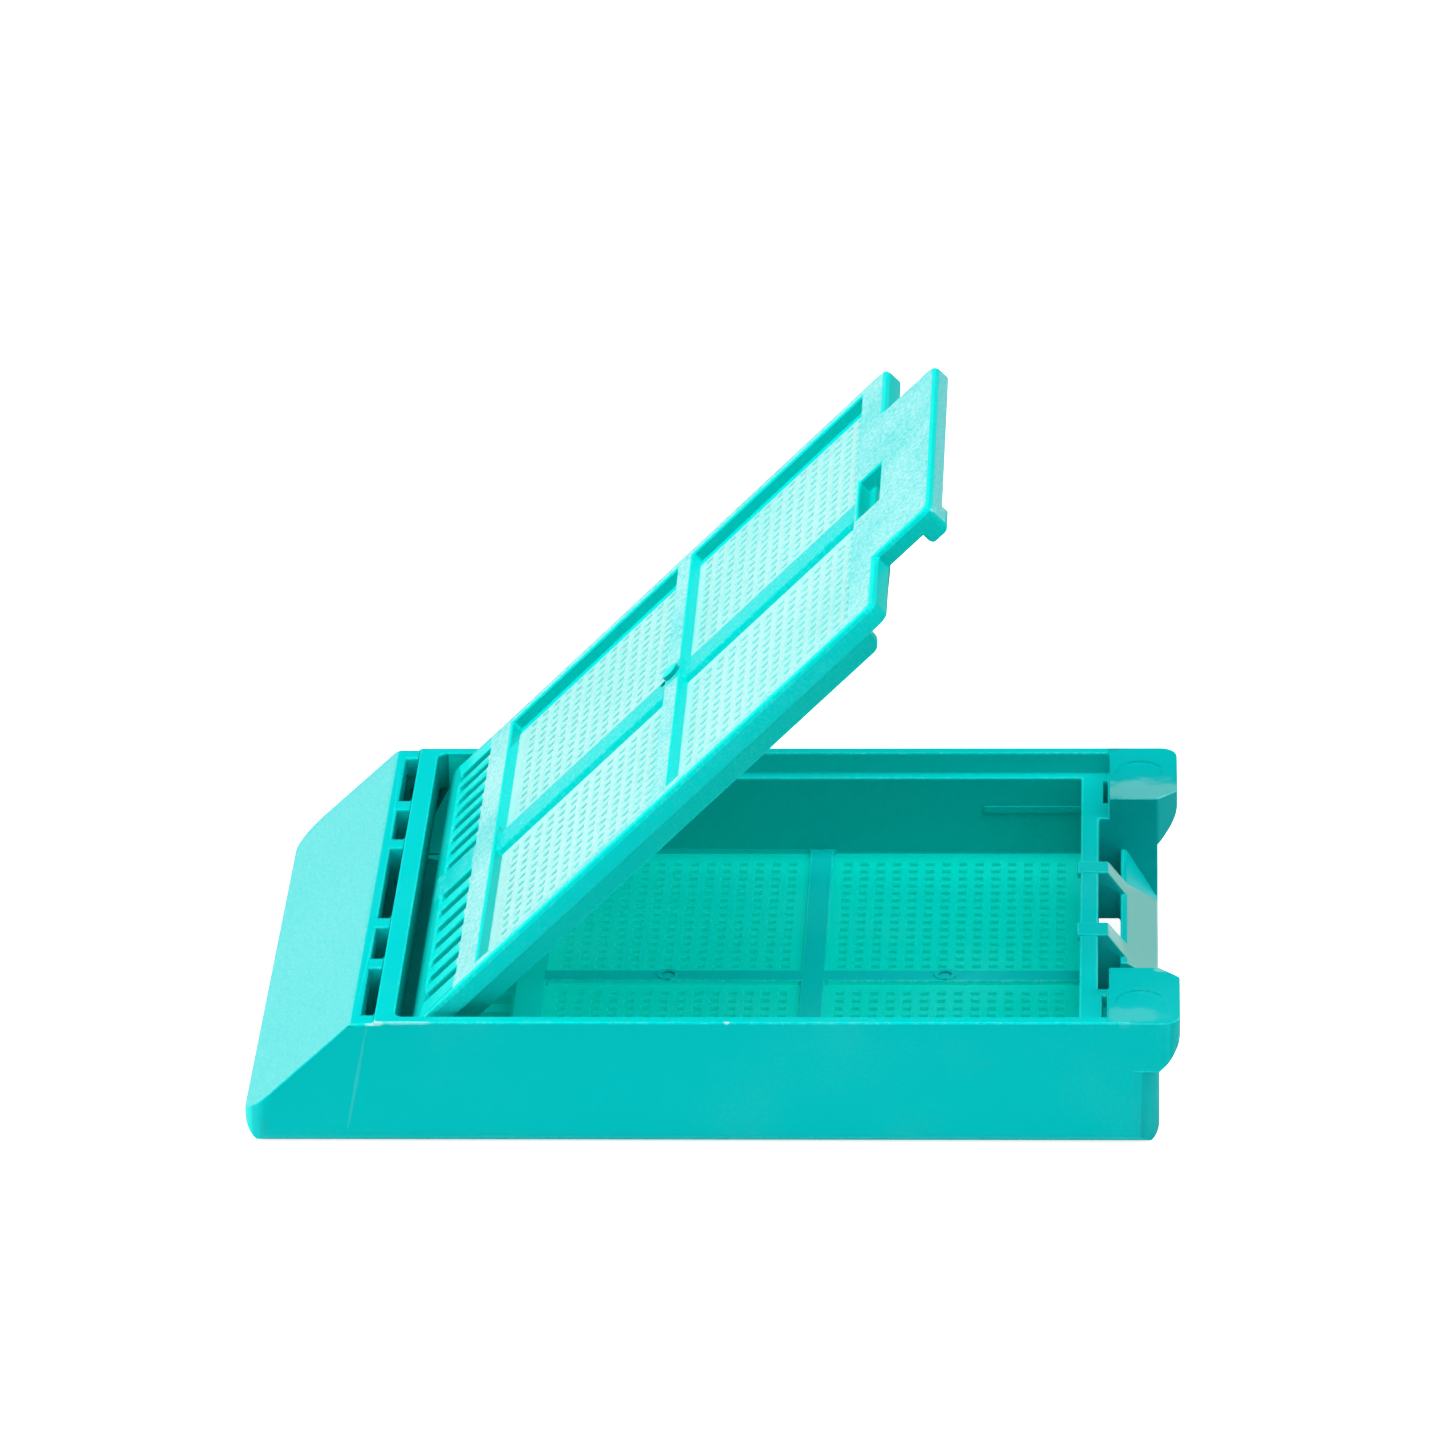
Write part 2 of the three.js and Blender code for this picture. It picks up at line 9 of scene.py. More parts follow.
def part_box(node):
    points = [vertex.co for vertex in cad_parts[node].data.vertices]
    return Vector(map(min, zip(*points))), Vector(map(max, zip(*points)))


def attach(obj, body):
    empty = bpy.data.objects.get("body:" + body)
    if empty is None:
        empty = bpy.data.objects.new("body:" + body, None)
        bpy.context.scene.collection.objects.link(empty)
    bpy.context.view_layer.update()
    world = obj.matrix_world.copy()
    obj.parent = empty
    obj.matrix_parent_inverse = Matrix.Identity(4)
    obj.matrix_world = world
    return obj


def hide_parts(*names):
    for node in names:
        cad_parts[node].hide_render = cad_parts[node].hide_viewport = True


print("loading the frame")
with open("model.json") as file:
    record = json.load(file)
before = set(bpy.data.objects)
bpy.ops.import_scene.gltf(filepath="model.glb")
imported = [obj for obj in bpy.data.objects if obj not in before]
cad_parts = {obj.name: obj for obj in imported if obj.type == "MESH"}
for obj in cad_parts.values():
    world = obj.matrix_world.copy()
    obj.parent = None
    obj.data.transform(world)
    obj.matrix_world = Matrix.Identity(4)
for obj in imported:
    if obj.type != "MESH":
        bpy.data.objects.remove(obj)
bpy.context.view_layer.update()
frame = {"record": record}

mm = 0.001  # both pieces are drawn in millimetres and scaled at the end
past = 1  # how far a cutter runs on beyond the face it opens
lap = 0.1  # how far one solid reaches into another
near = 0.02  # a face or edge this close to a plane counts as lying on it
about = 0.1  # and this close to an edge as part of it
hair = 0.01  # keeps two faces from coinciding
wholeHeight = 9  # up and down, takes in all of the lid
hinge = frame["record"]["behaviour"]["joints"][0]
hingeX, hingeY, hingeZ = (value / mm for value in hinge["pos_m"])
openAngle = math.radians(-hinge["range_deg"][0])  # the lid stands this far open at rest
trayLow, trayHigh = (corner / mm for corner in map(Vector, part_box("cassette_base")))

def rounded(corners, stepDegrees=9, shortest=0.11):
    # an outline from (u, v) or (u, v, radius) corners, each radius drawn as an arc whose
    # steps stay longer than the edge softening is wide
    outline = []
    for i, corner in enumerate(corners):
        here = Vector(corner[:2])
        radius = corner[2] if len(corner) > 2 else 0
        if not radius:
            outline.append(here)
            continue
        toLast = (Vector(corners[i - 1][:2]) - here).normalized()
        toNext = (Vector(corners[(i + 1) % len(corners)][:2]) - here).normalized()
        half = toLast.angle(toNext) / 2
        centre = here + (toLast + toNext).normalized() * radius / math.sin(half)
        begin = here + toLast * radius / math.tan(half) - centre
        turn = math.copysign(math.pi - 2 * half, toNext.cross(toLast))
        fine, coarse = abs(math.degrees(turn)) / stepDegrees, radius * abs(turn) / shortest
        steps = max(2, math.ceil(min(fine, math.floor(coarse))))
        for step in range(steps + 1):
            outline.append(centre + Matrix.Rotation(turn * step / steps, 2) @ begin)
    return outline


def rectangle(u0, u1, v0, v1, radius=0):
    return rounded([(u0, v0, radius), (u1, v0, radius), (u1, v1, radius), (u0, v1, radius)])


def solidFrom(mesh, name="solid"):
    bmesh.ops.recalc_face_normals(mesh, faces=mesh.faces)
    data = bpy.data.meshes.new(name)
    mesh.to_mesh(data)
    mesh.free()
    solid = bpy.data.objects.new(name, data)
    bpy.context.scene.collection.objects.link(solid)
    return solid


def prism(outline, low, high, along):
    # a closed solid that runs from low to high along one axis
    place = {
        "x": lambda u, v, w: (w, u, v),
        "y": lambda u, v, w: (u, w, v),
        "z": lambda u, v, w: (u, v, w),
    }[along]
    mesh = bmesh.new()
    ends = [[mesh.verts.new(place(u, v, w)) for u, v in outline] for w in (low, high)]
    for end in ends:
        mesh.faces.new(end)
    for i in range(len(outline)):
        mesh.faces.new((ends[0][i - 1], ends[0][i], ends[1][i], ends[1][i - 1]))
    return solidFrom(mesh)


def block(x0, x1, y0, y1, z0, z1):
    return prism(rectangle(x0, x1, y0, y1), z0, z1, "z")


def bake(solid):
    # applies the modifiers
    bpy.context.view_layer.update()
    shown = solid.evaluated_get(bpy.context.evaluated_depsgraph_get())
    data = bpy.data.meshes.new_from_object(shown)
    solid.modifiers.clear()
    solid.data = data


def shape(body, operation, tools):
    for tool in tools:
        step = body.modifiers.new(operation.lower(), "BOOLEAN")
        step.operation = operation
        step.solver = "MANIFOLD"
        step.object = tool
    bake(body)
    for tool in tools:
        bpy.data.objects.remove(tool)
    return body


def join(body, *tools):
    return shape(body, "UNION", tools)


def cut(body, *tools):
    return shape(body, "DIFFERENCE", tools)


def trim(body, *tools):
    return shape(body, "INTERSECT", tools)


def cleanFaces(solid, beyond=-math.inf, weld=0.0005, flatDegrees=0.6):
    # merges the flat faces that the cuts left in pieces, then splits them into convex ones
    mesh = bmesh.new()
    mesh.from_mesh(solid.data)
    verts = [vert for vert in mesh.verts if vert.co.x > beyond]
    bmesh.ops.remove_doubles(mesh, verts=verts, dist=weld)
    verts = [vert for vert in mesh.verts if vert.co.x > beyond]
    edges = [edge for edge in mesh.edges if all(vert.co.x > beyond for vert in edge.verts)]
    flat = math.radians(flatDegrees)
    bmesh.ops.dissolve_limit(mesh, angle_limit=flat, verts=verts, edges=edges)
    faces = [face for face in mesh.faces if face.calc_center_median().x > beyond]
    bmesh.ops.connect_verts_concave(mesh, faces=faces)
    mesh.to_mesh(solid.data)
    mesh.free()


def splitAt(solid, *planes):
    # divides the faces along planes, so that a change of finish has an edge to follow
    mesh = bmesh.new()
    mesh.from_mesh(solid.data)
    for axis, place in planes:
        normal = Vector((axis == "x", axis == "y", axis == "z"))
        geometry = [*mesh.verts, *mesh.edges, *mesh.faces]
        point = normal * place
        bmesh.ops.bisect_plane(mesh, geom=geometry, plane_co=point, plane_no=normal, dist=1e-5)
    mesh.to_mesh(solid.data)
    mesh.free()


def softenEdges(solid, width, grade=lambda low, high: 1, highest=3, sharpDegrees=34):
    # rounds the sharp edges, each by the width times its own grade, up to the highest one
    cleanFaces(solid)
    mesh = bmesh.new()
    mesh.from_mesh(solid.data)
    weight = mesh.edges.layers.float.new("bevel_weight_edge")
    for edge in mesh.edges:
        if edge.calc_face_angle(0) > math.radians(sharpDegrees):
            ends = [vert.co for vert in edge.verts]
            low, high = (Vector([pick(axis) for axis in zip(*ends)]) for pick in (min, max))
            edge[weight] = grade(low, high) / highest
    mesh.to_mesh(solid.data)
    mesh.free()
    bevel = solid.modifiers.new("edges", "BEVEL")
    bevel.width = highest * width
    bevel.segments = 2
    bevel.limit_method = "WEIGHT"
    bevel.use_clamp_overlap = False
    bevel.miter_outer = "MITER_SHARP"
    bake(solid)


def bothSides(make, *sizes):
    return [make(*sizes, side) for side in (-1, 1)]


def span(side, inner, outer):
    return (inner, outer) if side > 0 else (-outer, -inner)


weave = {
    "pitch": 0.764,  # from hole to hole, both ways
    "lidHole": 0.42,
    "floorHole": 0.36,
    "flare": 0.05,  # chamfer round each hole
    "thickness": 0.4,
    "bite": 0.22,  # how far a panel runs into the frame round it
}


def gridLines(low, high, hole):
    # middles of a row of holes centred between low and high
    count = int((high - low - weave["pitch"] + hole) // weave["pitch"])
    first = (low + high - (count - 1) * weave["pitch"]) / 2
    return [first + i * weave["pitch"] for i in range(count)]


def meshPanel(x0, x1, y0, y1, top, hole):
    # a plate of square holes, each flared at both faces, with whole rows and columns only
    columns, rows = gridLines(x0, x1, hole), gridLines(y0, y1, hole)
    half, wide = hole / 2, hole / 2 + weave["flare"]
    bite, bottom = weave["bite"], top - weave["thickness"]
    mesh = bmesh.new()

    def lines(low, high, centres):
        return [low - bite] + [c + s * wide for c in centres for s in (-1, 1)] + [high + bite]

    xs, ys = lines(x0, x1, columns), lines(y0, y1, rows)
    grids = {}
    for z in (top, bottom):
        grids[z] = grid = [[mesh.verts.new((x, y, z)) for y in ys] for x in xs]
        for i in range(len(xs) - 1):
            for j in range(len(ys) - 1):
                if i % 2 == 0 or j % 2 == 0:
                    here, beyond = grid[i], grid[i + 1]
                    mesh.faces.new((here[j], beyond[j], beyond[j + 1], here[j + 1]))
    corners = [(-1, -1), (1, -1), (1, 1), (-1, 1)]
    for i, x in enumerate(columns):
        for j, y in enumerate(rows):
            a, b = 2 * i + 1, 2 * j + 1
            throat = {
                z: [mesh.verts.new((x + u * half, y + v * half, z)) for u, v in corners]
                for z in (top - weave["flare"], bottom + weave["flare"])
            }
            mouths = {
                z: [grid[a + (u > 0)][b + (v > 0)] for u, v in corners]
                for z, grid in grids.items()
            }
            stack = [mouths[top], *throat.values(), mouths[bottom]]
            for upper, lower in zip(stack, stack[1:]):
                for n in range(4):
                    mesh.faces.new((upper[n - 1], upper[n], lower[n], lower[n - 1]))
    over, under = grids[top], grids[bottom]
    for end in (0, -1):
        for i in range(len(xs) - 1):
            j = i + 1
            mesh.faces.new((over[i][end], over[j][end], under[j][end], under[i][end]))
        for i in range(len(ys) - 1):
            j = i + 1
            mesh.faces.new((over[end][i], over[end][j], under[end][j], under[end][i]))
    return solidFrom(mesh)


tray = {
    "front": trayLow.x,
    "tip": trayHigh.x,
    "halfWidth": trayHigh.y,
    "height": trayHigh.z,
    "earReach": 0.9,
    "lip": 1.33,  # upright strip under the label face
    "labelRun": 4.83,
    "labelWall": 0.9,
    "labelEdge": 0.45,  # rounding between label face and strip
    "stripRun": 1.06,
    "stripDrop": 0.1,
    "stripSlot": 0.6,
    "stripSlotEnd": 0.95,
    "stripBar": 1.0,
    "stripBarPitch": 4.1,
    "crossbar": 0.9,
    "crossbarHeight": 1.75,
    "crossbarFillet": 0.45,
    "rim": 0.6,
    "wall": 1.1,
    "endWall": 0.8,
    "floorTop": 1.0,
    "floorUnder": 0.5,
    "floorInset": 0.25,  # mesh windows, in from the chamber's walls
    "ribRise": 0.22,
    "ribWidth": 1.1,
    "pocketFloor": 0.7,
    "pocketLength": 4.4,
    "pocketReach": 0.5,  # under the crossbar, into the strip's slots
    "pocketSlot": 1.8,
    "darkRun": 1.5,  # the part of the pocket that little light reaches
    "border": 1.3,
    "cornerFront": 1.3,
    "cornerRear": 1.2,
    "bottomEdge": 0.6,
    "frontFoot": 1.0,  # bottom edge under the label face
    "earLength": 2.2,
    "earWidth": 5.5,
    "earCorner": 0.8,
    "earSlant": 0.9,  # slanted inner corner of the ear's overhang
    "earUpright": 0.8,
    "earLobe": 2.43,
    "earCore": 0.8,
    "earSlot": 0.25,
    "nearEarSlot": (9.4, 12.05, 0.6),  # from, to and depth under the ledge
    "farEarSlot": (10.5, 12.75, 1.5),
    "earRoot": 0.6,  # how far behind its front the overhanging lobe begins
    "earDish": 38.0,  # radius of the shallow sink across each ear
    "earDishDepth": 0.1,
    "pinMark": 1.08,  # radius of the ejector pin's witness ring
    "pinMarkDepth": 0.07,
    "pinCentre": (1.75, 2.35),  # in from the ear's tip and from its outer side
    "crater": (0.3, 0.5),  # inner and outer radius of the gate marks on the long rib
    "craterHeight": 0.07,
    "craterDepth": 0.05,
    "craterPlaces": (-2.5, 10.0),
    "pit": 0.5,
    "rampTop": 3.35,
    "rampFoot": 0.9,
    "rampInset": 1.7,
    "rampWidth": 0.25,
    "rampEdge": 0.2,
    "rampLap": 0.3,
    "catchHalf": 4.1,
    "catchTop": 3.85,
    "catchFoot": 3.0,
    "catchUnder": 0.55,
    "catchSet": (0.05, 0.02),  # its back leans in this far at the underside and at the foot
    "catchWidth": 0.3,
    "catchRibs": ((-3.5, -2.2, 2.12), (2.95, 4.1, 2.6)),  # from, to and underside
    "padRise": 0.06,  # the ribs' pads stand this proud of the end wall
    "padThickness": 0.35,
    "padFront": 0.15,
    "padBack": 0.05,
    "insertBead": (11.6, 3.47, 0.3, 0.1),  # start, top, depth and height
    "ribLap": 0.2,
    "seatGap": 0.1,
    "edge": 0.09,
    "brightAbove": 0.8,  # outward edges over this height get a painted highlight
}


def trayStations(t):
    # the tray's sizes together with the places worked out from them, called s from here on
    s = dict(t)
    s["rear"] = t["tip"] - t["earReach"]
    s["labelTop"] = t["front"] + t["labelRun"]
    s["barFront"] = s["labelTop"] + t["stripRun"]
    s["barBack"] = s["barFront"] + t["crossbar"]
    s["pocketBack"] = s["barBack"] + t["pocketLength"]
    s["chamberFront"] = s["pocketBack"] + t["border"]
    s["earFront"] = s["rear"] - t["earLength"]
    s["wallBack"] = s["earFront"] - t["pit"]
    s["chamberBack"] = s["wallBack"] - t["endWall"]
    s["midRib"] = (s["chamberFront"] + s["chamberBack"]) / 2
    s["rimInner"] = t["halfWidth"] - t["rim"]
    s["wallInner"] = t["halfWidth"] - t["wall"]
    s["earInner"] = t["halfWidth"] - t["earWidth"]
    s["stripTop"] = t["height"] - t["stripDrop"]
    s["ledge"] = t["height"] - cover["thickness"] - t["seatGap"]
    s["barUnder"] = t["height"] - t["crossbarHeight"]
    s["ribTop"] = t["floorTop"] + t["ribRise"]
    s["rampInner"] = s["rear"] - t["rampInset"]
    s["endMiddle"] = s["wallBack"] - t["endWall"] / 2
    s["above"] = t["height"] + past
    return s


def trayShell(s):
    front, rear, half, height = s["front"], s["rear"], s["halfWidth"], s["height"]
    side = rounded([
        (front, 0, s["frontFoot"]),
        (rear, 0, s["bottomEdge"]),
        (rear, height),
        (s["barFront"], height),
        (s["barFront"], s["stripTop"]),
        (s["labelTop"], s["stripTop"], s["labelEdge"]),
        (front, s["lip"]),
    ])
    plan = rounded([
        (front, -half, s["cornerFront"]),
        (rear, -half, s["cornerRear"]),
        (rear, half, s["cornerRear"]),
        (front, half, s["cornerFront"]),
    ])
    end = rounded([
        (-half, 0, s["bottomEdge"]),
        (half, 0, s["bottomEdge"]),
        (half, height),
        (-half, height),
    ])
    shell = prism(side, -half - past, half + past, "y")
    cutters = prism(plan, -past, s["above"], "z"), prism(end, front - past, s["tip"], "x")
    return trim(shell, *cutters)


def ear(s, side, steps=10):
    # the overhanging lobe, softened on its own and set into the corner of the shell
    y0, y1 = span(side, s["earInner"], s["halfWidth"])
    left, top, low = s["earFront"] + s["earRoot"], s["height"], s["height"] - s["earLobe"]
    foot, knee = Vector((s["rear"], low)), Vector((s["tip"], top - s["earUpright"]))
    bend = Vector((s["tip"], (low + top - s["earUpright"]) / 2))
    curve = [
        foot * (1 - t) ** 2 + bend * 2 * t * (1 - t) + knee * t**2
        for t in (i / steps for i in range(steps + 1))
    ]
    lobe = [Vector((left, low)), *curve, Vector((s["tip"], top)), Vector((left, top))]
    slant, outer, inner = s["earSlant"], side * s["halfWidth"], side * (s["earInner"] - past)
    plan = [
        (left - past, outer),
        (s["tip"], outer, s["earCorner"]),
        (s["tip"], side * (s["earInner"] + slant)),
        (s["tip"] - slant - past, inner),
        (left - past, inner),
    ]
    plan = rounded(plan if side < 0 else plan[::-1])
    lobe = trim(prism(lobe, y0, y1, "y"), prism(plan, 0, s["above"], "z"))
    softenEdges(lobe, s["edge"])
    return lobe


def labelHollow(s):
    slope = math.atan2(s["stripTop"] - s["lip"], s["labelRun"])
    ceiling = s["stripTop"] - s["labelWall"]
    drop = s["labelWall"] / math.cos(slope)
    left = s["front"] + s["labelWall"]
    outline = [
        (left, -past),
        (s["barFront"], -past),
        (s["barFront"], ceiling),
        (s["front"] + (ceiling - s["lip"] + drop) / math.tan(slope), ceiling),
        (left, s["lip"] - drop + s["labelWall"] * math.tan(slope)),
    ]
    width = s["halfWidth"] - s["labelWall"]
    return prism(outline, -width, width, "y")


def stripBars(s):
    half, pitch = s["stripBar"] / 2, s["stripBarPitch"]
    return [(i * pitch - half, i * pitch + half) for i in (-2, -1, 1, 2)]


def labelWebs(s):
    front, top = s["front"] + s["labelWall"] / 2, s["stripTop"] - lap
    outline = [
        (front, s["floorUnder"]),
        (s["barFront"], s["floorUnder"]),
        (s["barFront"], top),
        (s["labelTop"], top),
        (front, s["lip"]),
    ]
    return [prism(outline, y0, y1, "y") for y0, y1 in stripBars(s)]


def stripSlots(s):
    # the slots lie between the bars
    outer = s["halfWidth"] - s["stripSlotEnd"]
    ends = [-outer, *[y for bar in stripBars(s) for y in bar], outer]
    x0 = s["barFront"] - s["stripSlot"]
    return [
        block(x0, s["barFront"], y0, y1, s["barUnder"], s["above"])
        for y0, y1 in zip(ends[::2], ends[1::2])
    ]


def crossbarCorners(s):
    # room for the lid behind the crossbar, its corners rounded
    plan = rectangle(s["barBack"], s["tip"], -s["rimInner"], s["rimInner"], s["crossbarFillet"])
    return prism(plan, 0, s["above"], "z")


def tailPocket(s):
    half, low = s["rimInner"], s["pocketFloor"]
    pocket = block(s["barBack"], s["pocketBack"], -half, half, low, s["above"])
    reach = s["barFront"] - s["pocketReach"]
    under = block(reach, s["pocketBack"], -half, half, low, s["barUnder"])
    return join(trim(pocket, crossbarCorners(s)), under)


def combSpans():
    spans = []
    for side, comb in ((-1, cover["nearComb"]), (1, cover["farComb"])):
        for i in range(comb["count"]):
            inner = comb["inner"] + i * comb["pitch"]
            spans.append(span(side, inner, inner + comb["width"]))
    return spans


def pocketSlots(s):
    x1 = s["pocketBack"] - s["floorInset"]
    return [
        block(x1 - s["pocketSlot"], x1, y0, y1, -past, s["pocketFloor"] + past)
        for y0, y1 in combSpans()
    ]


def fourWindows(columns, inner, outer):
    # the openings round a cross of ribs, as x0, x1, y0, y1
    return [(*column, *span(side, inner, outer)) for column in columns for side in (-1, 1)]


def floorWindows(s):
    half, inset = s["ribWidth"] / 2, s["floorInset"]
    front = s["chamberFront"], s["midRib"] - half
    back = s["midRib"] + half, s["chamberBack"] - inset
    return fourWindows((front, back), half, s["wallInner"] - inset)


def earSlot(s, side):
    inner, outer, depth = s["nearEarSlot"] if side < 0 else s["farEarSlot"]
    x1 = s["earFront"] - s["earSlot"] / 5
    return block(x1 - s["earSlot"], x1, *span(side, inner, outer), s["ledge"] - depth, s["above"])


def earCore(s, side):
    # the hollow under a thick ear
    wall = s["earCore"]
    sides = span(side, s["earInner"] + wall, s["halfWidth"] - wall)
    top = s["height"] - 1.5 * wall
    return block(s["earFront"] + wall / 2, s["rear"] - wall, *sides, -past, top)


def earDish(s, side, aside=0.5, steps=24):
    # the shallow sink that a thick moulded block gets as it cools
    y0, y1 = span(side, s["earInner"] - aside, s["halfWidth"] + aside)
    middle = side * (s["earInner"] + s["halfWidth"]) / 2
    top = s["height"] + s["earDish"] - s["earDishDepth"]
    arc = []
    for i in range(steps + 1):
        y = y0 + (y1 - y0) * i / steps
        arc.append((y, top - math.sqrt(s["earDish"] ** 2 - (y - middle) ** 2)))
    outline = [(y1, s["above"]), (y0, s["above"]), *arc]
    return prism(outline, s["earFront"] - lap, s["tip"] + past, "x")


def disc(x, y, radius, z0, z1, sides=32):
    turns = [math.tau * i / sides for i in range(sides)]
    ring = [(x + radius * math.cos(turn), y + radius * math.sin(turn)) for turn in turns]
    return prism(ring, z0, z1, "z")


def pinMarks(s):
    # ejector pins leave a faint disc on each ear
    x, y = s["tip"] - s["pinCentre"][0], s["halfWidth"] - s["pinCentre"][1]
    low = s["height"] - s["earDishDepth"] - s["pinMarkDepth"]
    return bothSides(lambda side: disc(x, side * y, s["pinMark"], low, s["above"]))


def craters(s, radius, low, high):
    return [disc(x, 0, radius, s["ribTop"] + low, s["ribTop"] + high) for x in s["craterPlaces"]]


def insertBead(s):
    # the mould's insert left a faint bead on one inner wall
    x0, top, depth, height = s["insertBead"]
    wall = s["wallInner"]
    return block(x0, s["chamberBack"] + lap, wall - height, wall + lap, top - depth, top)


def rearWall(s):
    # a ramp, and before it the plate that the lid's tab snaps behind
    inner, rear = s["rampInner"], s["rear"]
    underSet, footSet = s["catchSet"]
    ramp = rounded([
        (inner, 0),
        (rear, 0, s["bottomEdge"]),
        (rear, s["rampFoot"], s["rampEdge"]),
        (inner + s["rampWidth"], s["rampTop"]),
        (inner, s["rampTop"]),
    ])
    plate = rounded([
        (inner, s["catchUnder"]),
        (rear - underSet, s["catchUnder"]),
        (rear - footSet, s["catchFoot"]),
        (inner + s["catchWidth"], s["catchTop"]),
        (inner, s["catchTop"]),
    ])
    half = s["earInner"] + s["rampLap"]
    return prism(ramp, -half, half, "y"), prism(plate, -s["catchHalf"], s["catchHalf"], "y")


def catchRib(s, y0, y1, under):
    inner, front = s["rampInner"], s["wallBack"] - s["endWall"] - s["padFront"]
    pad = s["ledge"] + s["padRise"]
    outline = rounded([
        (s["endMiddle"], under),
        (inner + s["catchWidth"] / 2, under),
        (inner + s["catchWidth"], s["catchTop"]),
        (s["earFront"] - s["padBack"], pad),
        (front, pad),
        (front, pad - s["padThickness"]),
        (s["endMiddle"], pad - s["padThickness"]),
    ])
    return prism(outline, y0, y1, "y")


def buildTray():
    print("moulding the tray")
    s = trayStations(tray)
    inner, rim, half = s["wallInner"], s["rimInner"], s["ribWidth"] / 2
    body = cut(trayShell(s), labelHollow(s))
    join(body, *labelWebs(s))
    lidRoom = block(s["barBack"], s["earFront"], -rim, rim, s["ledge"], s["above"])
    cut(
        body,
        *stripSlots(s),
        tailPocket(s),
        *pocketSlots(s),
        block(s["pocketBack"], s["chamberFront"], -inner, inner, s["ribTop"], s["above"]),
        trim(lidRoom, crossbarCorners(s)),
        block(s["chamberFront"], s["chamberBack"], -inner, inner, s["floorTop"], s["above"]),
        block(s["wallBack"], s["tip"] + past, -s["earInner"], s["earInner"], -past, s["above"]),
        *bothSides(earSlot, s),
    )
    y1 = inner + s["ribLap"]
    x0, x1 = s["chamberFront"] - s["ribLap"], s["chamberBack"] + s["ribLap"]
    join(
        body,
        block(s["midRib"] - half, s["midRib"] + half, -y1, y1, s["floorUnder"], s["ribTop"]),
        block(x0, x1, -half, half, s["floorUnder"], s["ribTop"]),
    )
    latch = join(*rearWall(s), *[catchRib(s, *place) for place in s["catchRibs"]])
    windows = floorWindows(s)
    cut(body, *[block(*window, -past, s["floorTop"] + hair) for window in windows])
    print("tray body", len(body.data.polygons), "faces")
    for solid in (body, latch):
        softenEdges(solid, s["edge"], lambda low, high: high.z > s["bottomEdge"] + near)
    print("tray edges", len(body.data.polygons), "faces")
    join(
        body,
        latch,
        *[meshPanel(*window, s["floorTop"], weave["floorHole"]) for window in windows],
        *bothSides(ear, s),
        insertBead(s),
        *craters(s, s["crater"][1], -lap, s["craterHeight"]),
    )
    cut(
        body,
        *bothSides(earCore, s),
        *bothSides(earDish, s),
        *pinMarks(s),
        *craters(s, s["crater"][0], -s["craterDepth"], past),
    )
    cleanFaces(body, s["wallBack"])
    return body


# the lid is drawn shut, with the hinge axis at the origin
cover = {
    "thickness": 0.95,
    "outlineGrade": 2.4,  # how much more the top face's outline is rounded
    "outlineFade": 0.7,  # the drop over which that ends, round the tail
    "outlineMargin": 0.1,
    "skirtDepth": 1.85,
    "skirtWall": 0.7,
    "skirtInset": 0.5,
    "skirtEnd": 0.5,
    "tailRadius": 1.45,
    "tailWall": 0.85,
    "tailSet": 0.285,
    "tailDrop": 1.37,
    "footReach": 2.7,
    "footThickness": 0.7,
    "slotLength": 1.95,
    "slotRun": 0.3,  # below the plate, into the tail
    "nearComb": {"inner": 1.0, "width": 0.8, "pitch": 1.65, "count": 7},
    "farComb": {"inner": 1.5, "width": 0.7, "pitch": 1.37, "count": 8},
    "rimLength": 0.23,
    "strip": 1.45,
    "well": 0.55,  # depth of the windows
    "wellEdge": 0.85,
    "rib": 1.0,
    "longRib": 1.9,
    "longRibDrop": 0.25,
    "endLand": 1.6,
    "sideGap": 0.3,
    "endGap": 0.2,
    "skirtEndGap": 0.15,
    "tabSideGap": 0.6,
    "tabThickness": 0.85,
    "tabRoot": 0.5,  # how far the tab's own block reaches into the plate
    "tabHole": (1.35, 4.2),
    "tabLedge": (0.4, 0.3),
    "corner": 0.5,
    "tabCorner": 0.6,
    "nub": (1.15, 1.8, 0.55),
    "nubBend": 0.55,  # rounding, as a share of its drop
    "nubInset": 0.1,
    "gateMark": (0.45, 0.22),  # radius and height of the vestige where the ribs cross
    "gateRoot": 0.3,
    "gateEdge": 0.07,
    "gatePit": (0.2, 0.85, 0.6),  # radius of the small pit beside it, and its place
    "gatePitDepth": 0.7,
    "edge": 0.1,
    # outward edges over this height get the lid's painted highlight
    "brightAbove": 1.9,
}


def coverStations(c):
    # the lid's sizes together with the places worked out from them, called k from here on
    s = trayStations(tray)
    k = dict(c)
    k["top"] = s["height"] - hingeZ
    k["halfWidth"] = s["rimInner"] - c["sideGap"]
    k["wellHalf"] = k["halfWidth"] - c["wellEdge"]
    k["under"] = k["top"] - c["thickness"]
    k["wellTop"] = k["top"] - c["well"]
    k["tabUnder"] = k["top"] - c["tabThickness"]
    k["slotFront"] = c["tailSet"] + c["rimLength"]
    k["slotBack"] = k["slotFront"] + c["slotLength"]
    k["wellFront"] = k["slotBack"] + c["strip"]
    k["end"] = s["earFront"] - c["endGap"] - hingeX
    k["tabEnd"] = s["tip"] - hingeX
    k["tabHalf"] = s["earInner"] - c["tabSideGap"]
    k["wellBack"] = k["end"] - c["endLand"]
    k["ribX"] = s["midRib"] - hingeX
    k["ribHalf"] = c["longRib"] / 2
    k["skirtX"] = s["chamberBack"] - c["skirtEndGap"] - hingeX
    k["above"] = k["top"] + past
    return k


